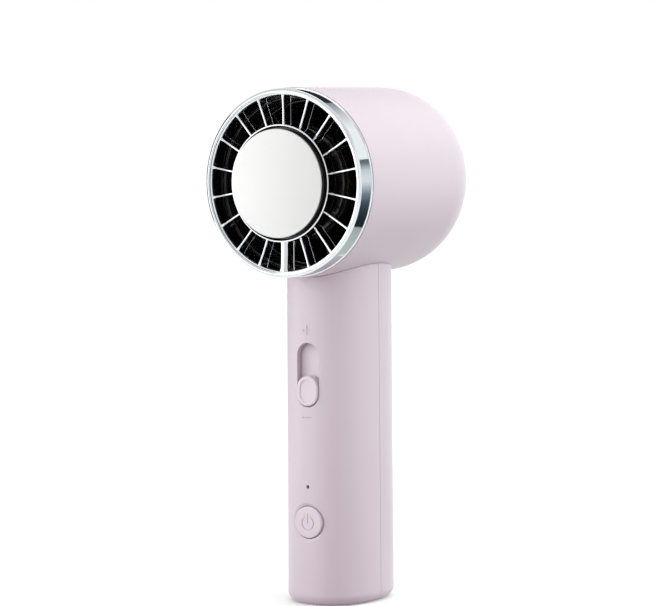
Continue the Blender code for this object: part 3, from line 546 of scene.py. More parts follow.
def make_rear_grille():
    """Domed cap with two rings of tapered slots, each with a rounded mouth."""
    edge = INTAKE_RADIUS - 0.0003
    seat = dome_height(INTAKE_RADIUS) - 0.0019
    outer = [(edge * i / 14, dome_height(edge * i / 14)) for i in range(14)]
    inner = [(edge * i / 8, dome_height(edge * i / 8) - 0.0018) for i in (7, 6, 5, 4, 3, 2, 1)]
    corners = [*outer, (edge, dome_height(edge), 0.0004), (edge, seat, 0.0002), *inner, (0, DOME_END - 0.0018)]
    outline = filleted(corners, closed=False)
    cap = turned("intake_grille", outline, 144)
    slots = 24
    bm = bmesh.new()
    for i in range(slots):
        turn = 2 * pi * (i + 0.5) / slots
        along, across = Vector((cos(turn), sin(turn), 0)), Vector((-sin(turn), cos(turn), 0))
        rings = []
        for grow, depth in flared(0.00028, 0.0030, 3):
            ring = []
            for u, v in capsule(0.0095, 0.0196, 0.00055, 0.0015, grow, 8):
                point = along * u + across * v
                ring.append(bm.verts.new((point.x, point.y, dome_height(point.length) - depth)))
            rings.append(ring)
        capped(bm, rings)
    cutter = add_object("intake_slots", bm, TO_HEAD)
    return dress(cut(cap, cutter), "rear_grille", "pink_shell", normals=outline_normals(outline))


def make_trim_ring():
    """Bright band: its lip reaches in over the grille's rim, and its rear edge flares over the shell's."""
    front, ledge, back = LIP_FRONT, -0.0316, -0.03045
    corners = [
        (0.03606, back),
        (0.03604, -0.03065, 0.00006),
        (0.03570, -0.03090, 0.0001),
        (0.03580, front + 0.00070, 0.00015),
        (0.03562, front + 0.00058, 0.00015),
        (0.03496, front + 0.00030, 0.00006),
        (0.03492, front, 0.00010),
        (0.03392, front + 0.00005, 0.00025),
        (0.03390, front + 0.00042),
        (0.03400, front + 0.00046),
        (0.03410, ledge),
        (0.03340, ledge),
        (0.03340, -0.0250),
        (0.03420, -0.0250),
        (0.03420, back),
    ]
    outline = filleted(corners, steps=7)
    ring = turned("trim_band", outline, 240)
    notch = box_mesh("lead_notch", (-0.0022, -0.0332, HEAD.z - 0.0343), (0.0022, -0.0240, HEAD.z - 0.0328))
    return dress(cut(ring, notch), "trim_ring", "chrome_trim", normals=outline_normals(outline))


VANE_COUNT = 18
HUB_RING = (0.0216, 0.0223)
RIM = (0.0330, 0.03375)


def vane_section(half, front, nose, back=-0.0322):
    """A vane's cross-section, as (across, axial) points: a long rounded nose and a foot that stands proud."""
    points = []
    for k in range(17):
        a = pi * k / 16
        flat = 0.3 * half * (1 if k > 8 else -1 if k < 8 else 0)
        points.append((flat - 0.7 * half * cos(a), front + nose * (1 - sin(a))))
    foot = half + 0.00003
    edge = back - 0.0006
    right = [(0.9 * half, edge, 0.00005), (foot, edge + 0.0001, 0.00008), (foot, back, 0.0001)]
    left = [(-u, v, size) for u, v, size in reversed(right)]
    return points + filleted(right + left, closed=False)


def add_vane(bm, angle, half, nose):
    """A radial vane that swells into the rim and the hub ring, as moulded fillets do."""
    along = Vector((sin(angle), -cos(angle), 0))
    across = Vector((cos(angle), sin(angle), 0))
    near, far = HUB_RING[0] + 0.0003, RIM[1] - 0.0003
    steps = 14
    rings = []
    for i in range(steps + 1):
        share = i / steps
        radius = near + (far - near) * share
        from_hub = max(0.0, 1 - (radius - HUB_RING[1]) / 0.0008)
        from_rim = max(0.0, 1 - (RIM[0] - radius) / 0.0010)
        swell = min(0.0003, 0.0002 * from_hub**2 + 0.0003 * from_rim**2)
        section = vane_section(half + swell, -0.0372 - 0.0005 * share**3, nose)
        rings.append([bm.verts.new(along * radius + across * u + Vector((0, 0, v))) for u, v in section])
    capped(bm, rings)


def make_front_grille():
    rim = [(RIM[1] + 0.00014, -0.0319), (RIM[1] + 0.00014, -0.03792)]
    for k in range(13):
        a = pi / 2 * k / 12
        rim.append((RIM[1] + 0.00013 - 0.00080 * sin(a), -0.03632 - 0.00158 * cos(a)))
    rim.append((RIM[0] - 0.0002, -0.0319))
    hub = filleted(
        [
            (HUB_RING[1], -0.0335, 0.0001),
            (HUB_RING[1], -0.0400, 0.0003),
            (HUB_RING[0], -0.0400, 0.0003),
            (HUB_RING[0], -0.0335, 0.0001),
        ]
    )
    grille = turned("chrome_grille", rim, 216)
    bm = bmesh.new()
    for i in range(VANE_COUNT):
        half, nose = (0.0015, 0.0003) if i == VANE_COUNT // 2 else (0.00050, 0.0011)
        add_vane(bm, 2 * pi * i / VANE_COUNT, half, nose)
    vanes = add_object("grille_vanes", bm, TO_HEAD)
    cut(grille, turned("grille_hub", hub, 216), vanes, operation="UNION")
    on_rim, on_hub = outline_normals(rim), outline_normals(hub)

    def normals(centre, places, face_normal):
        radius = hypot(centre.x - HEAD.x, centre.z - HEAD.z)
        return (on_hub if radius < 0.0235 else on_rim)(centre, places, face_normal)

    return dress(grille, "front_grille", "chrome_trim", normals=normals)


def make_plate():
    """Slightly crowned disc with a rounded edge and a fine step in its side."""
    crown = 0.00035
    face = []
    for i in range(12):
        radius = (PLATE_RADIUS - 0.0006) * i / 11
        face.append((radius, PLATE_FRONT + crown * (radius / PLATE_RADIUS) ** 2))
    edge = PLATE_FRONT + crown
    corners = [
        *face,
        (PLATE_RADIUS, edge, 0.00045),
        (PLATE_RADIUS, -0.04155, 0.00008),
        (PLATE_RADIUS - 0.00022, -0.04150, 0.00008),
        (PLATE_RADIUS - 0.00022, -0.0410),
        (0, -0.0410),
    ]
    outline = filleted(corners, closed=False)
    return dress(turned("cooling_disc", outline, 216), "cold_plate", "plate_metal")


def make_carrier():
    corners = [
        (0.0213, -0.0378, 0.0002),
        (0.0204, -0.0378),
        (0.0204, -0.0404, 0.0002),
        (0.0185, -0.0404, 0.0002),
        (0.0185, -0.0340, 0.0001),
        (0.0213, -0.0340, 0.0001),
    ]
    outline = filleted(corners)
    ring = turned("disc_carrier", outline, 144)
    notch = box_mesh("carrier_notch", (-0.0012, -0.0374, HEAD.z - 0.0215), (0.0012, -0.0330, HEAD.z - 0.0180))
    return dress(cut(ring, notch), "plate_carrier", "black_plastic", normals=outline_normals(outline))


# ---------------------------------------------------------------- inside of the head


def lead_hole(name):
    return upright(name, 0.0016, HEAD.z - 0.036, HEAD.z - 0.0190, MOTOR_LEAD_Y, 20)


def make_duct():
    corners = [
        (DUCT_INNER, -0.0303, 0.0003),
        (DUCT_OUTER, -0.0303, 0.0002),
        (DUCT_OUTER, 0.0300),
        (DUCT_OUTER + 0.0008, 0.0330, 0.0003),
        (DUCT_INNER + 0.0008, 0.0330, 0.0003),
        (DUCT_INNER, 0.0300),
    ]
    outline = filleted(corners)
    duct = turned("duct_sleeve", outline, 144)
    return dress(cut(duct, lead_hole("duct_hole")), "air_duct", "black_plastic", normals=outline_normals(outline))


def add_blade(bm, base_angle, places, root, tip, twist, thickness):
    """A twisted blade, thinner towards its edges. root and twist are functions of its axial place."""
    start, stop = places
    steps = 16
    rings = []
    for i in range(steps + 1):
        share = i / steps
        y = start + (stop - start) * share
        half = thickness / 2 * (1 - 0.75 * abs(2 * share - 1) ** 4)
        ring = []
        for k in range(5):
            radius = root(y) + (tip - root(y)) * k / 4
            a = base_angle + twist(share) - half / radius
            ring.append(bm.verts.new((radius * sin(a), radius * cos(a), y)))
        for k in reversed(range(5)):
            radius = root(y) + (tip - root(y)) * k / 4
            a = base_angle + twist(share) + half / radius
            ring.append(bm.verts.new((radius * sin(a), radius * cos(a), y)))
        rings.append(ring)
    capped(bm, rings)


def make_guide_vanes():
    wall = HUB_RADIUS - 0.0014
    hub = filleted(
        [
            (HUB_RADIUS, -0.0260, 0.0002),
            (HUB_RADIUS, 0.0040, 0.0003),
            (0.0042, 0.0040, 0.0002),
            (0.0042, 0.0025),
            (wall, 0.0025),
            (wall, -0.0260, 0.0002),
        ]
    )
    ring = filleted(
        [(0.0317, -0.0200, 0.0002), (0.0317, 0.0, 0.0002), (0.0309, 0.0, 0.0003), (0.0309, -0.0200, 0.0003)]
    )
    housing = turned("guide_vane_stage", hub, 132)
    count = 11
    bm = bmesh.new()
    for i in range(count):
        angle = 2 * pi * (i + 0.5) / count
        span = (-0.0195, -0.0005)
        add_blade(bm, angle, span, lambda y: HUB_RADIUS - 0.0006, 0.0314, lambda s: radians(9) * s**2, 0.0011)
    blades = add_object("guide_blades", bm, TO_HEAD)
    cut(housing, turned("guide_ring", ring, 132), blades, operation="UNION")
    cut(housing, lead_hole("hub_hole"))
    on_hub, on_ring = outline_normals(hub), outline_normals(ring)

    def normals(centre, places, face_normal):
        radius = hypot(centre.x - HEAD.x, centre.z - HEAD.z)
        return (on_hub if radius < 0.0265 else on_ring)(centre, places, face_normal)

    return dress(housing, "guide_vanes", "black_plastic", normals=normals)


def make_hub_nose():
    corners = [
        (0, -0.0285),
        (0.0195, -0.0285, 0.0010),
        (0.0213, -0.0279, 0.0008),
        (HUB_RADIUS, -0.0263, 0.0002),
        (0.0202, -0.0263),
        (0.0202, -0.0235),
        (0.0190, -0.0235),
        (0.0190, -0.0270),
        (0, -0.0270),
    ]
    return dress(turned("hub_front_cap", filleted(corners, closed=False), 132), "hub_nose", "black_plastic")


IMPELLER = (0.0047, 0.0270)


def impeller_hub(y):
    share = max(0.0, y - IMPELLER[0]) / (IMPELLER[1] + 0.0015 - IMPELLER[0])
    return 0.0218 * (1 - 0.92 * share**2.4) ** 0.5


def make_impeller():
    front, back = IMPELLER
    outer = [(impeller_hub(y), y) for y in (front + (back - front) * i / 14 for i in range(15))]
    inner = [(impeller_hub(y) - 0.0016, y) for y in (0.0205, 0.0190, 0.0165, 0.0140, 0.0100, 0.0070, front)]
    core = [(0.00107, back), (0.00107, 0.0184), (0.0034, 0.0184), (0.0034, 0.0240), (0.0150, 0.0232)]
    outline = [*outer, *core, *inner]
    wheel = turned("fan_wheel", outline, 108)
    count = 9
    bm = bmesh.new()
    for i in range(count):
        angle = 2 * pi * i / count
        add_blade(
            bm,
            angle,
            (0.0060, 0.0240),
            lambda y: impeller_hub(y) - 0.0008,
            0.0314,
            lambda s: radians(44 * s + 6 * s**2),
            0.0013,
        )
    cut(wheel, add_object("wheel_blades", bm, TO_HEAD), operation="UNION")
    return dress(wheel, "impeller", "black_plastic", "rotor", normals=outline_normals(outline))


def make_impeller_cap():
    corners = [(0, 0.0296), (0.0024, 0.0292, 0.0006), (0.0034, 0.0275, 0.0002), (0, 0.0275)]
    return dress(turned("wheel_cap", filleted(corners, closed=False), 48), "impeller_cap", "black_plastic", "rotor")


# ---------------------------------------------------------------- handle


def handle_halves(z, inset=0.0):
    return HANDLE_HALF_X - HANDLE_TAPER * z - inset, HANDLE_HALF_Y - HANDLE_TAPER * z - inset


def handle_ring(z, inset=0.0, count=176):
    half_x, half_y = handle_halves(z, inset)
    points = []
    for i in range(count):
        a = 2 * pi * (i + 0.5) / count
        reach = (abs(cos(a)) ** HANDLE_POWER + abs(sin(a)) ** HANDLE_POWER) ** (-1 / HANDLE_POWER)
        points.append((half_x * reach * cos(a), half_y * reach * sin(a)))
    return points


def front_face(x, z):
    """The handle's front surface at a place across and up it."""
    half_x, half_y = handle_halves(z)
    return -half_y * (1 - (abs(x) / half_x) ** HANDLE_POWER) ** (1 / HANDLE_POWER)


def handle_normals(centre, places, face_normal):
    """The oval surface's own normals, above its rounded foot."""
    found = []
    for place in places:
        half_x, half_y = handle_halves(place.z)
        u, v = place.x / half_x, place.y / half_y
        size = abs(u) ** HANDLE_POWER + abs(v) ** HANDLE_POWER
        if abs(size ** (1 / HANDLE_POWER) - 1) * half_y > 0.00003 or place.z < SHELL_BOTTOM + BASE_FILLET - 1e-5:
            return None
        slope = Vector(
            (
                abs(u) ** (HANDLE_POWER - 1) / half_x * (1 if u > 0 else -1),
                abs(v) ** (HANDLE_POWER - 1) / half_y * (1 if v > 0 else -1),
                0,
            )
        ).normalized()
        slope.z = HANDLE_TAPER
        found.append(slope.normalized())
    if min(normal.dot(face_normal) for normal in found) < 0.995:
        return None
    return found


def lofted(name, levels):
    bm = bmesh.new()
    capped(bm, [[bm.verts.new((x, y, z)) for x, y in handle_ring(z, inset)] for z, inset in levels])
    return add_object(name, bm)


def handle_body(name):
    levels = []
    steps = 9
    for i in range(steps + 1):
        a = pi / 2 * i / steps
        levels.append((SHELL_BOTTOM + BASE_FILLET * (1 - cos(a)), BASE_FILLET * (1 - sin(a))))
    levels += [(0.070, 0), (0.145, 0)]
    return lofted(name, levels)


def head_room(name):
    """The space that the head lies in, with a leaf of clearance."""
    radius = HEAD_RADIUS + 0.00012
    return turned(name, [(0, -0.060), (radius, -0.060), (radius, 0.060), (0, 0.060)], 240)


def handle_hollow(name):
    return lofted(name, [(0.0030, HANDLE_WALL + 0.0020), (0.0050, HANDLE_WALL), (0.150, HANDLE_WALL)])


def pad_recess(name):
    bm = bmesh.new()
    capped(bm, [[bm.verts.new((x, y, z)) for x, y in handle_ring(0, 0.0052, 96)] for z in (-0.002, 0.0015)])
    return add_object(name, bm)


def front_cutter(name, outline_at, levels):
    """A cutter that follows the handle's front. outline_at(grow) gives (x, z) points."""
    bm = bmesh.new()
    rings = []
    for grow, depth in levels:
        ring = []
        for x, z in outline_at(grow):
            ring.append(bm.verts.new((x, front_face(x, z) + depth, z)))
        rings.append(ring)
    capped(bm, rings)
    return add_object(name, bm)


def slot_outline(grow):
    radius = SLOT_WIDTH / 2 - 0.0002
    return [(v, u) for u, v in capsule(SLOT_LOW + radius, SLOT_HIGH - radius, radius, radius, grow, 28)]


def round_outline(z, radius, steps=72):
    def outline(grow):
        size = radius + grow
        return [(size * cos(2 * pi * i / steps), z + size * sin(2 * pi * i / steps)) for i in range(steps)]

    return outline


def dish_levels(width, depth, floor, steps=8):
    """A shallow soft-edged dish that leads down to the hole in its middle."""
    levels = [(width * 1.01, -0.0012), (width, 0.0)]
    for k in range(1, steps + 1):
        s = k / steps
        levels.append((width * (1 - s), depth * (3 * s**2 - 2 * s**3)))
    levels.append((0.0, floor))
    return levels


def bar(name, half_x, half_z, z, depth=0.00026):
    """A shallow engraved bar on the front of the handle."""

    def outline(grow):
        return [(v, z + u) for u, v in ((-half_z, -half_x), (-half_z, half_x), (half_z, half_x), (half_z, -half_x))]

    return front_cutter(name, outline, [(0, -0.0010), (0, depth)])


def make_handle_front():
    shell = handle_body("handle_front")
    cut(shell, handle_hollow("hollow"), head_room("room"), pad_recess("recess"))
    cut(shell, box_mesh("behind", (-0.03, SPLIT_Y - HALF_SPLIT, -0.01), (0.03, 0.04, 0.16)))
    cutters = [
        front_cutter("slot", slot_outline, flared(0.00022, 0.0045)),
        front_cutter("button", round_outline(BUTTON_Z, BUTTON_HOLE), dish_levels(0.0011, 0.00042, 0.0045)),
        front_cutter("light", round_outline(LIGHT_Z, 0.0007, 24), flared(0.00012, 0.0045, 3)),
        bar("minus", 0.0021, 0.00020, MINUS_Z),
        bar("plus_across", 0.0019, 0.00020, PLUS_Z),
    ]
    cut(shell, *cutters)
    cut(shell, bar("plus_up", 0.00020, 0.00205, PLUS_Z))
    return dress(shell, "handle_front_shell", "pink_shell", normals=handle_normals)


def make_handle_rear():
    shell = handle_body("handle_rear")
    cut(shell, handle_hollow("hollow"), head_room("room"), pad_recess("recess"))
    cut(shell, box_mesh("ahead", (-0.03, -0.04, -0.01), (0.03, SPLIT_Y + HALF_SPLIT, 0.16)))
    radius = SOCKET_HEIGHT / 2 + 0.0003
    reach = SOCKET_WIDTH / 2 - SOCKET_HEIGHT / 2
    bm = bmesh.new()
    rings = []
    for grow, depth in flared(0.00030, 0.0060):
        ring = []
        for u, v in capsule(-reach, reach, radius, radius, grow, 12):
            z = SOCKET_Z + v
            ring.append(bm.verts.new((u, -front_face(u, z) - depth, z)))
        rings.append(ring)
    capped(bm, rings)
    cut(shell, add_object("socket_mouth", bm))
    return dress(shell, "handle_rear_shell", "pink_shell", normals=handle_normals)


def make_base_pad():
    """The soft foot, with a rounded lower edge and one shallow groove round its side."""
    bm = bmesh.new()
    levels = [(0.0012, 0.0055), (0.0004, 0.0055), (0.00012, 0.00565), (0, 0.0059)]
    levels += [(0, 0.0080), (0.0002, 0.0082), (0.0002, 0.0090), (0, 0.0092)]
    rings = [[bm.verts.new((x, y, z)) for x, y in handle_ring(0, inset, 120)] for z, inset in levels]
    capped(bm, rings)
    return dress(add_object("foot_pad", bm), "base_pad", "rubber_foot")


# ---------------------------------------------------------------- controls


def front_plate_levels(name, outline_at, levels):
    """A solid from (grow, y) levels, front to back, on the handle's front."""
    bm = bmesh.new()
    rings = [[bm.verts.new((x, y, z)) for x, z in outline_at(grow)] for grow, y in levels]
    capped(bm, rings)
    return add_object(name, bm)


def make_knob():
    """Slider knob: a rounded rim round a recessed thumb dish, and the peg behind it."""
    centre = (KNOB_LOW + KNOB_HIGH) / 2
    radius = KNOB_WIDTH / 2
    half = (KNOB_HIGH - KNOB_LOW) / 2 - radius

    def outline(grow):
        return [(v, centre + u) for u, v in capsule(-half, half, radius, radius, grow, 28)]

    levels = [(0.0, KNOB_BACK), (0.0, KNOB_FRONT + 0.0007)]
    for k in range(1, 7):
        a = pi / 2 * k / 6
        levels.append((-0.0006 * (1 - cos(a)), KNOB_FRONT + 0.0006 * (1 - sin(a))))
    levels.append((-0.00125, KNOB_FRONT))
    for k in range(1, 6):
        a = pi / 2 * k / 5
        levels.append((-0.00125 - 0.00035 * sin(a), KNOB_FRONT + 0.00035 * (1 - cos(a))))
    levels.append((-0.0030, KNOB_FRONT + 0.00045))
    levels.append((-0.0042, KNOB_FRONT + 0.00048))
    knob = front_plate_levels("speed_knob", outline, levels)
    peg = box_mesh("peg", (-0.0020, KNOB_BACK - 0.0006, centre - 0.0020), (0.0020, -0.0170, centre + 0.0020))
    return dress(cut(knob, peg, operation="UNION"), "slider_knob", "pink_control", "slider")


def make_shutter():
    """The strip behind the slot, which moves with the knob."""
    low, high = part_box("slider_shutter")
    centre = (KNOB_LOW + KNOB_HIGH) / 2
    bm = bmesh.new()
    corners = [(low[0], low[2]), (high[0], low[2]), (high[0], high[2]), (low[0], high[2])]
    outline = filleted([(*corner, 0.0008) for corner in corners], steps=6)
    capped(bm, [[bm.verts.new((x, y, z)) for x, z in outline] for y in (low[1], high[1])])
    strip = add_object("slot_strip", bm)
    cut(strip, box_mesh("peg_hole", (-0.0022, -0.025, centre - 0.0022), (0.0022, -0.015, centre + 0.0022)))
    return dress(strip, "slider_shutter", "pink_control", "slider")


def power_symbol():
    """An open ring with a bar through its gap, as a shallow cutter."""
    front, back = BUTTON_FRONT - 0.001, BUTTON_FRONT + 0.00028
    inner, outer, gap = 0.00245, 0.00280, radians(32)
    steps = 40
    angles = [pi / 2 + gap + (2 * pi - 2 * gap) * i / steps for i in range(steps + 1)]
    outline = [(outer * cos(a), outer * sin(a)) for a in angles]
    outline += [(inner * cos(a), inner * sin(a)) for a in reversed(angles)]
    bm = bmesh.new()
    capped(bm, [[bm.verts.new((x, y, BUTTON_Z + z - 0.0003)) for x, z in outline] for y in (front, back)])
    arc = add_object("symbol_ring", bm)
    stroke = box_mesh("symbol_bar", (-0.00018, front, BUTTON_Z - 0.0004), (0.00018, back, BUTTON_Z + 0.0033))
    return arc, stroke


def make_button():
    """Round cap with a soft edge and an engraved power symbol, on its flange and post."""
    levels = [
        (0.0, BUTTON_FRONT + 0.00002),
        (0.0030, BUTTON_FRONT + 0.00002),
        (0.0050, BUTTON_FRONT + 0.00006),
    ]
    for k in range(7):
        a = pi / 2 * k / 6
        levels.append((BUTTON_RADIUS - 0.0005 * (1 - sin(a)), BUTTON_FRONT + 0.0001 + 0.0005 * (1 - cos(a))))
    levels += [(BUTTON_RADIUS, -0.0185), (0.0074, -0.0185), (0.0074, -0.0176)]
    levels += [(0.0016, -0.0176), (0.0016, -0.0163), (0.0, -0.0163)]
    bm = bmesh.new()
    rings = []
    steps = 96
    for radius, y in levels:
        if radius == 0:
            rings.append([bm.verts.new((0, y, BUTTON_Z))])
            continue
        angles = [2 * pi * i / steps for i in range(steps)]
        rings.append([bm.verts.new((radius * cos(a), y, BUTTON_Z + radius * sin(a))) for a in angles])
    skin(bm, rings)
    cap = cut(add_object("power_cap", bm), *power_symbol())
    return dress(cap, "power_button", "pink_control", "button")


def make_lens():
    bm = bmesh.new()
    low, high = low_high("indicator_lens", 1)
    levels = [(0.0, low), (0.00030, low + 0.00003), (0.00050, low + 0.00015), (0.00058, low + 0.0004), (0.00058, high), (0.0, high)]
    rings = []
    for radius, y in levels:
        if radius == 0:
            rings.append([bm.verts.new((0, y, LIGHT_Z))])
            continue
        angles = [2 * pi * i / 32 for i in range(32)]
        rings.append([bm.verts.new((radius * cos(a), y, LIGHT_Z + radius * sin(a))) for a in angles])
    skin(bm, rings)
    return dress(add_object("light_pipe", bm), "indicator_lens", "lens_smoke")


def make_socket():
    """The socket's metal sleeve and its contact tongue."""
    low, high = low_high("usb_c_shell", 1)
    reach = SOCKET_WIDTH / 2 - SOCKET_HEIGHT / 2

    def ring(bm, radius, y):
        return [bm.verts.new((u, y, SOCKET_Z + v)) for u, v in capsule(-reach, reach, radius, radius, 0, 12)]

    outer, wall = SOCKET_HEIGHT / 2, 0.0003
    bm = bmesh.new()
    levels = [
        (outer, low),
        (outer, high - 0.0001),
        (outer - 0.00008, high),
        (outer - wall + 0.00008, high),
        (outer - wall, high - 0.0002),
        (outer - wall, low + 0.0010),
    ]
    rings = [ring(bm, radius, y) for radius, y in levels]
    capped(bm, rings)
    dress(add_object("socket_sleeve", bm), "usb_c_shell", "steel")
    (x0, y0, z0), (x1, y1, z1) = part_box("usb_c_tongue")
    tongue = box_mesh("socket_tongue", (x0, y0, z0), (x1, y1, z1))
    for side, z in ((1, z1), (-1, z0)):
        for i in range(8):
            x = (i - 3.5) * 0.0007
            floor = z - side * 0.00008
            corners = (x - 0.00018, y0 + 0.0012, min(floor, z + side * 0.001)), (
                x + 0.00018,
                y1 - 0.0003,
                max(floor, z + side * 0.001),
            )
            cut(tongue, box_mesh("contact", *corners))
    dress(tongue, "usb_c_tongue", "black_plastic")


# ---------------------------------------------------------------- what stays from the frame


def finish_frame():
    """Every CAD node that stays gets its slot's material."""
    slots = {part["node"]: part["material_slot"] for part in frame["record"]["subparts"]}
    for name, node in frame["nodes"].items():
        node.data.materials.clear()
        node.data.materials.append(finishes[slots[name]])


# ---------------------------------------------------------------- studio


def make_camera():
    """A long lens, a little above the grille's height and turned to the fan's front right."""
    azimuth, elevation, roll = radians(34.05), radians(3.94), radians(-0.368)
    distance, lens = 1.1, 154.4
    back = Vector((sin(azimuth) * cos(elevation), -cos(azimuth) * cos(elevation), sin(elevation)))
    right = Vector((cos(azimuth), sin(azimuth), 0))
    up = back.cross(right)
    turned_right = right * cos(roll) + up * sin(roll)
    turned_up = up * cos(roll) - right * sin(roll)
    target = Vector((0, -0.0004, 0.116)) - right * 0.0041
    data = bpy.data.cameras.new("camera")
    data.lens = lens
    data.sensor_width = 36
    data.clip_start, data.clip_end = 0.05, 60
    camera = bpy.data.objects.new("camera", data)
    matrix = Matrix((turned_right, turned_up, back)).transposed().to_4x4()
    matrix.translation = target + back * distance
    camera.matrix_world = matrix
    bpy.context.scene.collection.objects.link(camera)
    bpy.context.scene.camera = camera


def area_light(name, place, size, power, colour=(1, 1, 1), aim=(0, 0, 0.12), glossy=True):
    data = bpy.data.lights.new(name, "AREA")
    data.shape = "RECTANGLE"
    data.size, data.size_y = size
    data.energy = power
    data.color = colour
    light = bpy.data.objects.new(name, data)
    light.location = place
    light.rotation_euler = (Vector(aim) - Vector(place)).to_track_quat("-Z", "Y").to_euler()
    light.visible_camera = False
    light.visible_glossy = glossy
    bpy.context.scene.collection.objects.link(light)


def card(name, corners, *colours, along="Z", diffuse=False):
    """A studio card, whose colours follow each other evenly from its low to its high edge along an axis.

    The camera doesn't see it. Reflections do, and so does soft light where diffuse is set.
    """
    bm = bmesh.new()
    bm.faces.new([bm.verts.new(corner) for corner in corners])
    mesh = bpy.data.meshes.new(name)
    bm.to_mesh(mesh)
    bm.free()
    made = bpy.data.objects.new(name, mesh)
    bpy.context.scene.collection.objects.link(made)
    material = bpy.data.materials.new(name)
    material.use_nodes = True
    tree = material.node_tree
    tree.nodes.clear()
    place = tree.nodes.new("ShaderNodeTexCoord")
    parts = tree.nodes.new("ShaderNodeSeparateXYZ")
    ramp = tree.nodes.new("ShaderNodeValToRGB")
    glow = tree.nodes.new("ShaderNodeEmission")
    out = tree.nodes.new("ShaderNodeOutputMaterial")
    stops = ramp.color_ramp.elements
    for i in range(1, len(colours) - 1):
        stops.new(i / (len(colours) - 1))
    for stop, colour in zip(stops, colours if len(colours) > 1 else 2 * colours):
        stop.color = (*colour, 1)
    tree.links.new(place.outputs["Generated"], parts.inputs[0])
    tree.links.new(parts.outputs[along], ramp.inputs[0])
    tree.links.new(ramp.outputs["Color"], glow.inputs["Color"])
    side = tree.nodes.new("ShaderNodeNewGeometry")
    clear = tree.nodes.new("ShaderNodeBsdfTransparent")
    choice = tree.nodes.new("ShaderNodeMixShader")
    tree.links.new(glow.outputs["Emission"], choice.inputs[1])
    if diffuse:
        tree.links.new(side.outputs["Backfacing"], choice.inputs[0])
    else:
        choice.inputs[0].default_value = 0
    tree.links.new(clear.outputs[0], choice.inputs[2])
    tree.links.new(choice.outputs[0], out.inputs["Surface"])
    mesh.materials.append(material)
    made.visible_camera = False
    made.visible_diffuse = diffuse
    made.visible_glossy = not diffuse
    made.visible_shadow = False
    made.visible_transmission = False


def make_floor():
    bm = bmesh.new()
    bmesh.ops.create_grid(bm, x_segments=1, y_segments=1, size=30)
    mesh = bpy.data.meshes.new("floor")
    bm.to_mesh(mesh)
    bm.free()
    floor = bpy.data.objects.new("floor", mesh)
    bpy.context.scene.collection.objects.link(floor)
    n = Nodes("pale_floor")
    n.colour(n.ramp(n.noise(3, 2), (0.79, 0.79, 0.79), (0.80, 0.80, 0.80)))
    n.set(Roughness=0.9)
    n.shader.inputs["Specular IOR Level"].default_value = 0.1
    mesh.materials.append(n.material)


def overhead(strength, spread):
    """A wide soft light from straight above, which reaches the whole floor evenly."""
    data = bpy.data.lights.new("overhead", "SUN")
    data.energy = strength
    data.angle = spread
    light = bpy.data.objects.new("overhead", data)
    light.location = (0, 0, 2)
    bpy.context.scene.collection.objects.link(light)


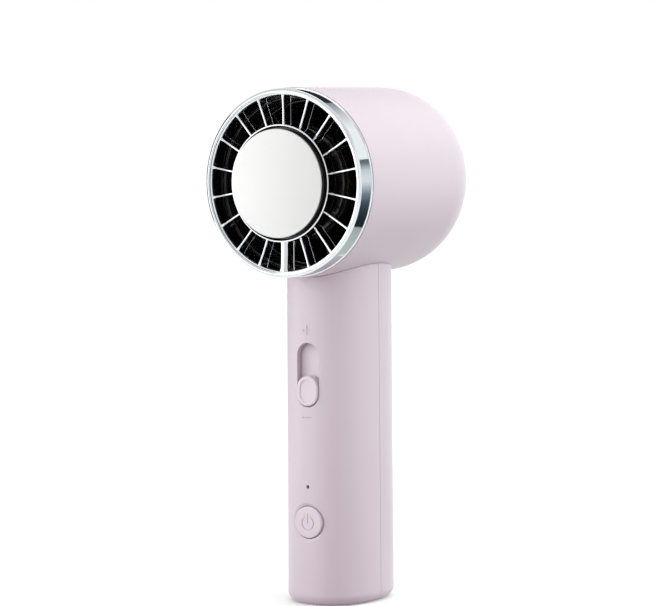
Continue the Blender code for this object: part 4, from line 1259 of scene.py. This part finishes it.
def make_studio():
    make_floor()
    world = bpy.data.worlds.new("studio")
    world.use_nodes = True
    world.node_tree.nodes["Background"].inputs["Color"].default_value = (1, 1, 1, 1)
    world.node_tree.nodes["Background"].inputs["Strength"].default_value = 1.0
    bpy.context.scene.world = world
    bpy.context.scene.view_settings.view_transform = "Standard"
    overhead(1.0, radians(70))
    area_light("left_softbox", (-0.80, -0.61, 0.26), (0.70, 0.52), 2.2)
    area_light("left_fill", (-0.62, -0.45, 0.30), (0.3, 0.3), 1.5, (0.82, 1.0, 0.90), glossy=False)
    area_light("front_fill", (-0.25, -0.95, 0.30), (0.4, 0.4), 1.7, (0.86, 1.0, 0.92), glossy=False)
    area_light("right_fill", (0.9, 0.75, 0.62), (0.5, 0.7), 11.5, (0.84, 1.0, 0.92), glossy=False)
    area_light("back_fill", (0.35, 0.75, 0.95), (0.9, 0.4), 1.4, (0.84, 1.0, 0.92), glossy=False)
    # Painted shade: a dim pinkish glowing sheet just above the floor, unseen by the camera, gives the fan's lower
    # parts less and pinker bounce light than the pale floor would.
    card(
        "floor_shade_sheet",
        [(-0.25, -0.30, 0.0003), (0.55, -0.30, 0.0003), (0.55, 0.50, 0.0003), (-0.25, 0.50, 0.0003)],
        (0.68, 0.615, 0.655),
        diffuse=True,
    )
    # Painted shade: a dimmer glowing sheet round the foot, unseen by the camera, darkens the foot's rounded lower
    # edge and the lower handle.
    card(
        "foot_shade_sheet",
        [(-0.05, -0.05, 0.0006), (0.05, -0.05, 0.0006), (0.05, 0.05, 0.0006), (-0.05, 0.05, 0.0006)],
        (0.58, 0.50, 0.55),
        diffuse=True,
    )
    card(
        "right_card",
        [(0.35, -1.60, 0.0), (1.50, -0.35, 0.0), (1.50, -0.35, 0.9), (0.35, -1.60, 0.9)],
        (1.3, 1.3, 1.3),
        (1.4, 1.4, 1.4),
    )
    card(
        "right_flag",
        [(0.12, 0.60, 0.0), (0.60, 0.55, 0.0), (0.60, 0.55, 0.385), (0.12, 0.60, 0.385)],
        (0.147, 0.197, 0.247),
        (0.27, 0.34, 0.41),
        (0.60, 0.70, 0.78),
        (1.05, 1.10, 1.13),
        (0.98, 1.05, 1.10),
        (0.80, 0.88, 0.92),
        (0.25, 0.28, 0.30),
        (0.08, 0.10, 0.11),
    )
    card(
        "floor_flag",
        [(0.03, 0.225, 0.002), (0.26, 0.195, 0.002), (0.52, 0.55, 0.003), (0.10, 0.60, 0.003)],
        (0.008, 0.014, 0.019),
        (0.060, 0.082, 0.105),
        (0.147, 0.197, 0.247),
        along="Y",
    )
    card(
        "floor_card",
        [(-0.04, 0.09, 0.002), (0.24, 0.07, 0.002), (0.26, 0.195, 0.002), (0.03, 0.225, 0.002)],
        (0.92, 0.98, 0.95),
        (0.46, 0.53, 0.51),
        along="Y",
    )
    card(
        "high_flag",
        [(-0.32, 0.40, 0.28), (-0.10, 0.40, 0.40), (-0.10, 0.40, 0.56), (-0.32, 0.40, 0.56)],
        (0.004, 0.005, 0.007),
        (0.040, 0.045, 0.055),
        along="X",
    )
    card(
        "high_card",
        [(-0.10, 0.40, 0.38), (0.16, 0.40, 0.38), (0.16, 0.40, 0.60), (-0.10, 0.40, 0.60)],
        (0.36, 0.38, 0.42),
        (1.35, 1.38, 1.40),
        along="X",
    )
    card(
        "side_card",
        [(0.16, 0.40, 0.312), (0.45, 0.40, 0.312), (0.45, 0.40, 0.60), (0.16, 0.40, 0.60)],
        (1.27, 1.33, 1.31),
    )
    card(
        "left_flag",
        [(-0.75, -0.24, 0.0), (-0.42, 0.42, 0.0), (-0.42, 0.42, 0.5), (-0.75, -0.24, 0.5)],
        (0.05, 0.055, 0.065),
        (0.10, 0.105, 0.12),
    )


# ---------------------------------------------------------------- assembly

make_camera()
finish_frame()
make_head_shell()
make_rear_grille()
make_trim_ring()
make_front_grille()
make_plate()
make_carrier()
make_duct()
make_guide_vanes()
make_hub_nose()
make_impeller()
make_impeller_cap()
make_handle_front()
make_handle_rear()
make_base_pad()
make_knob()
make_shutter()
make_button()
make_lens()
make_socket()
make_studio()
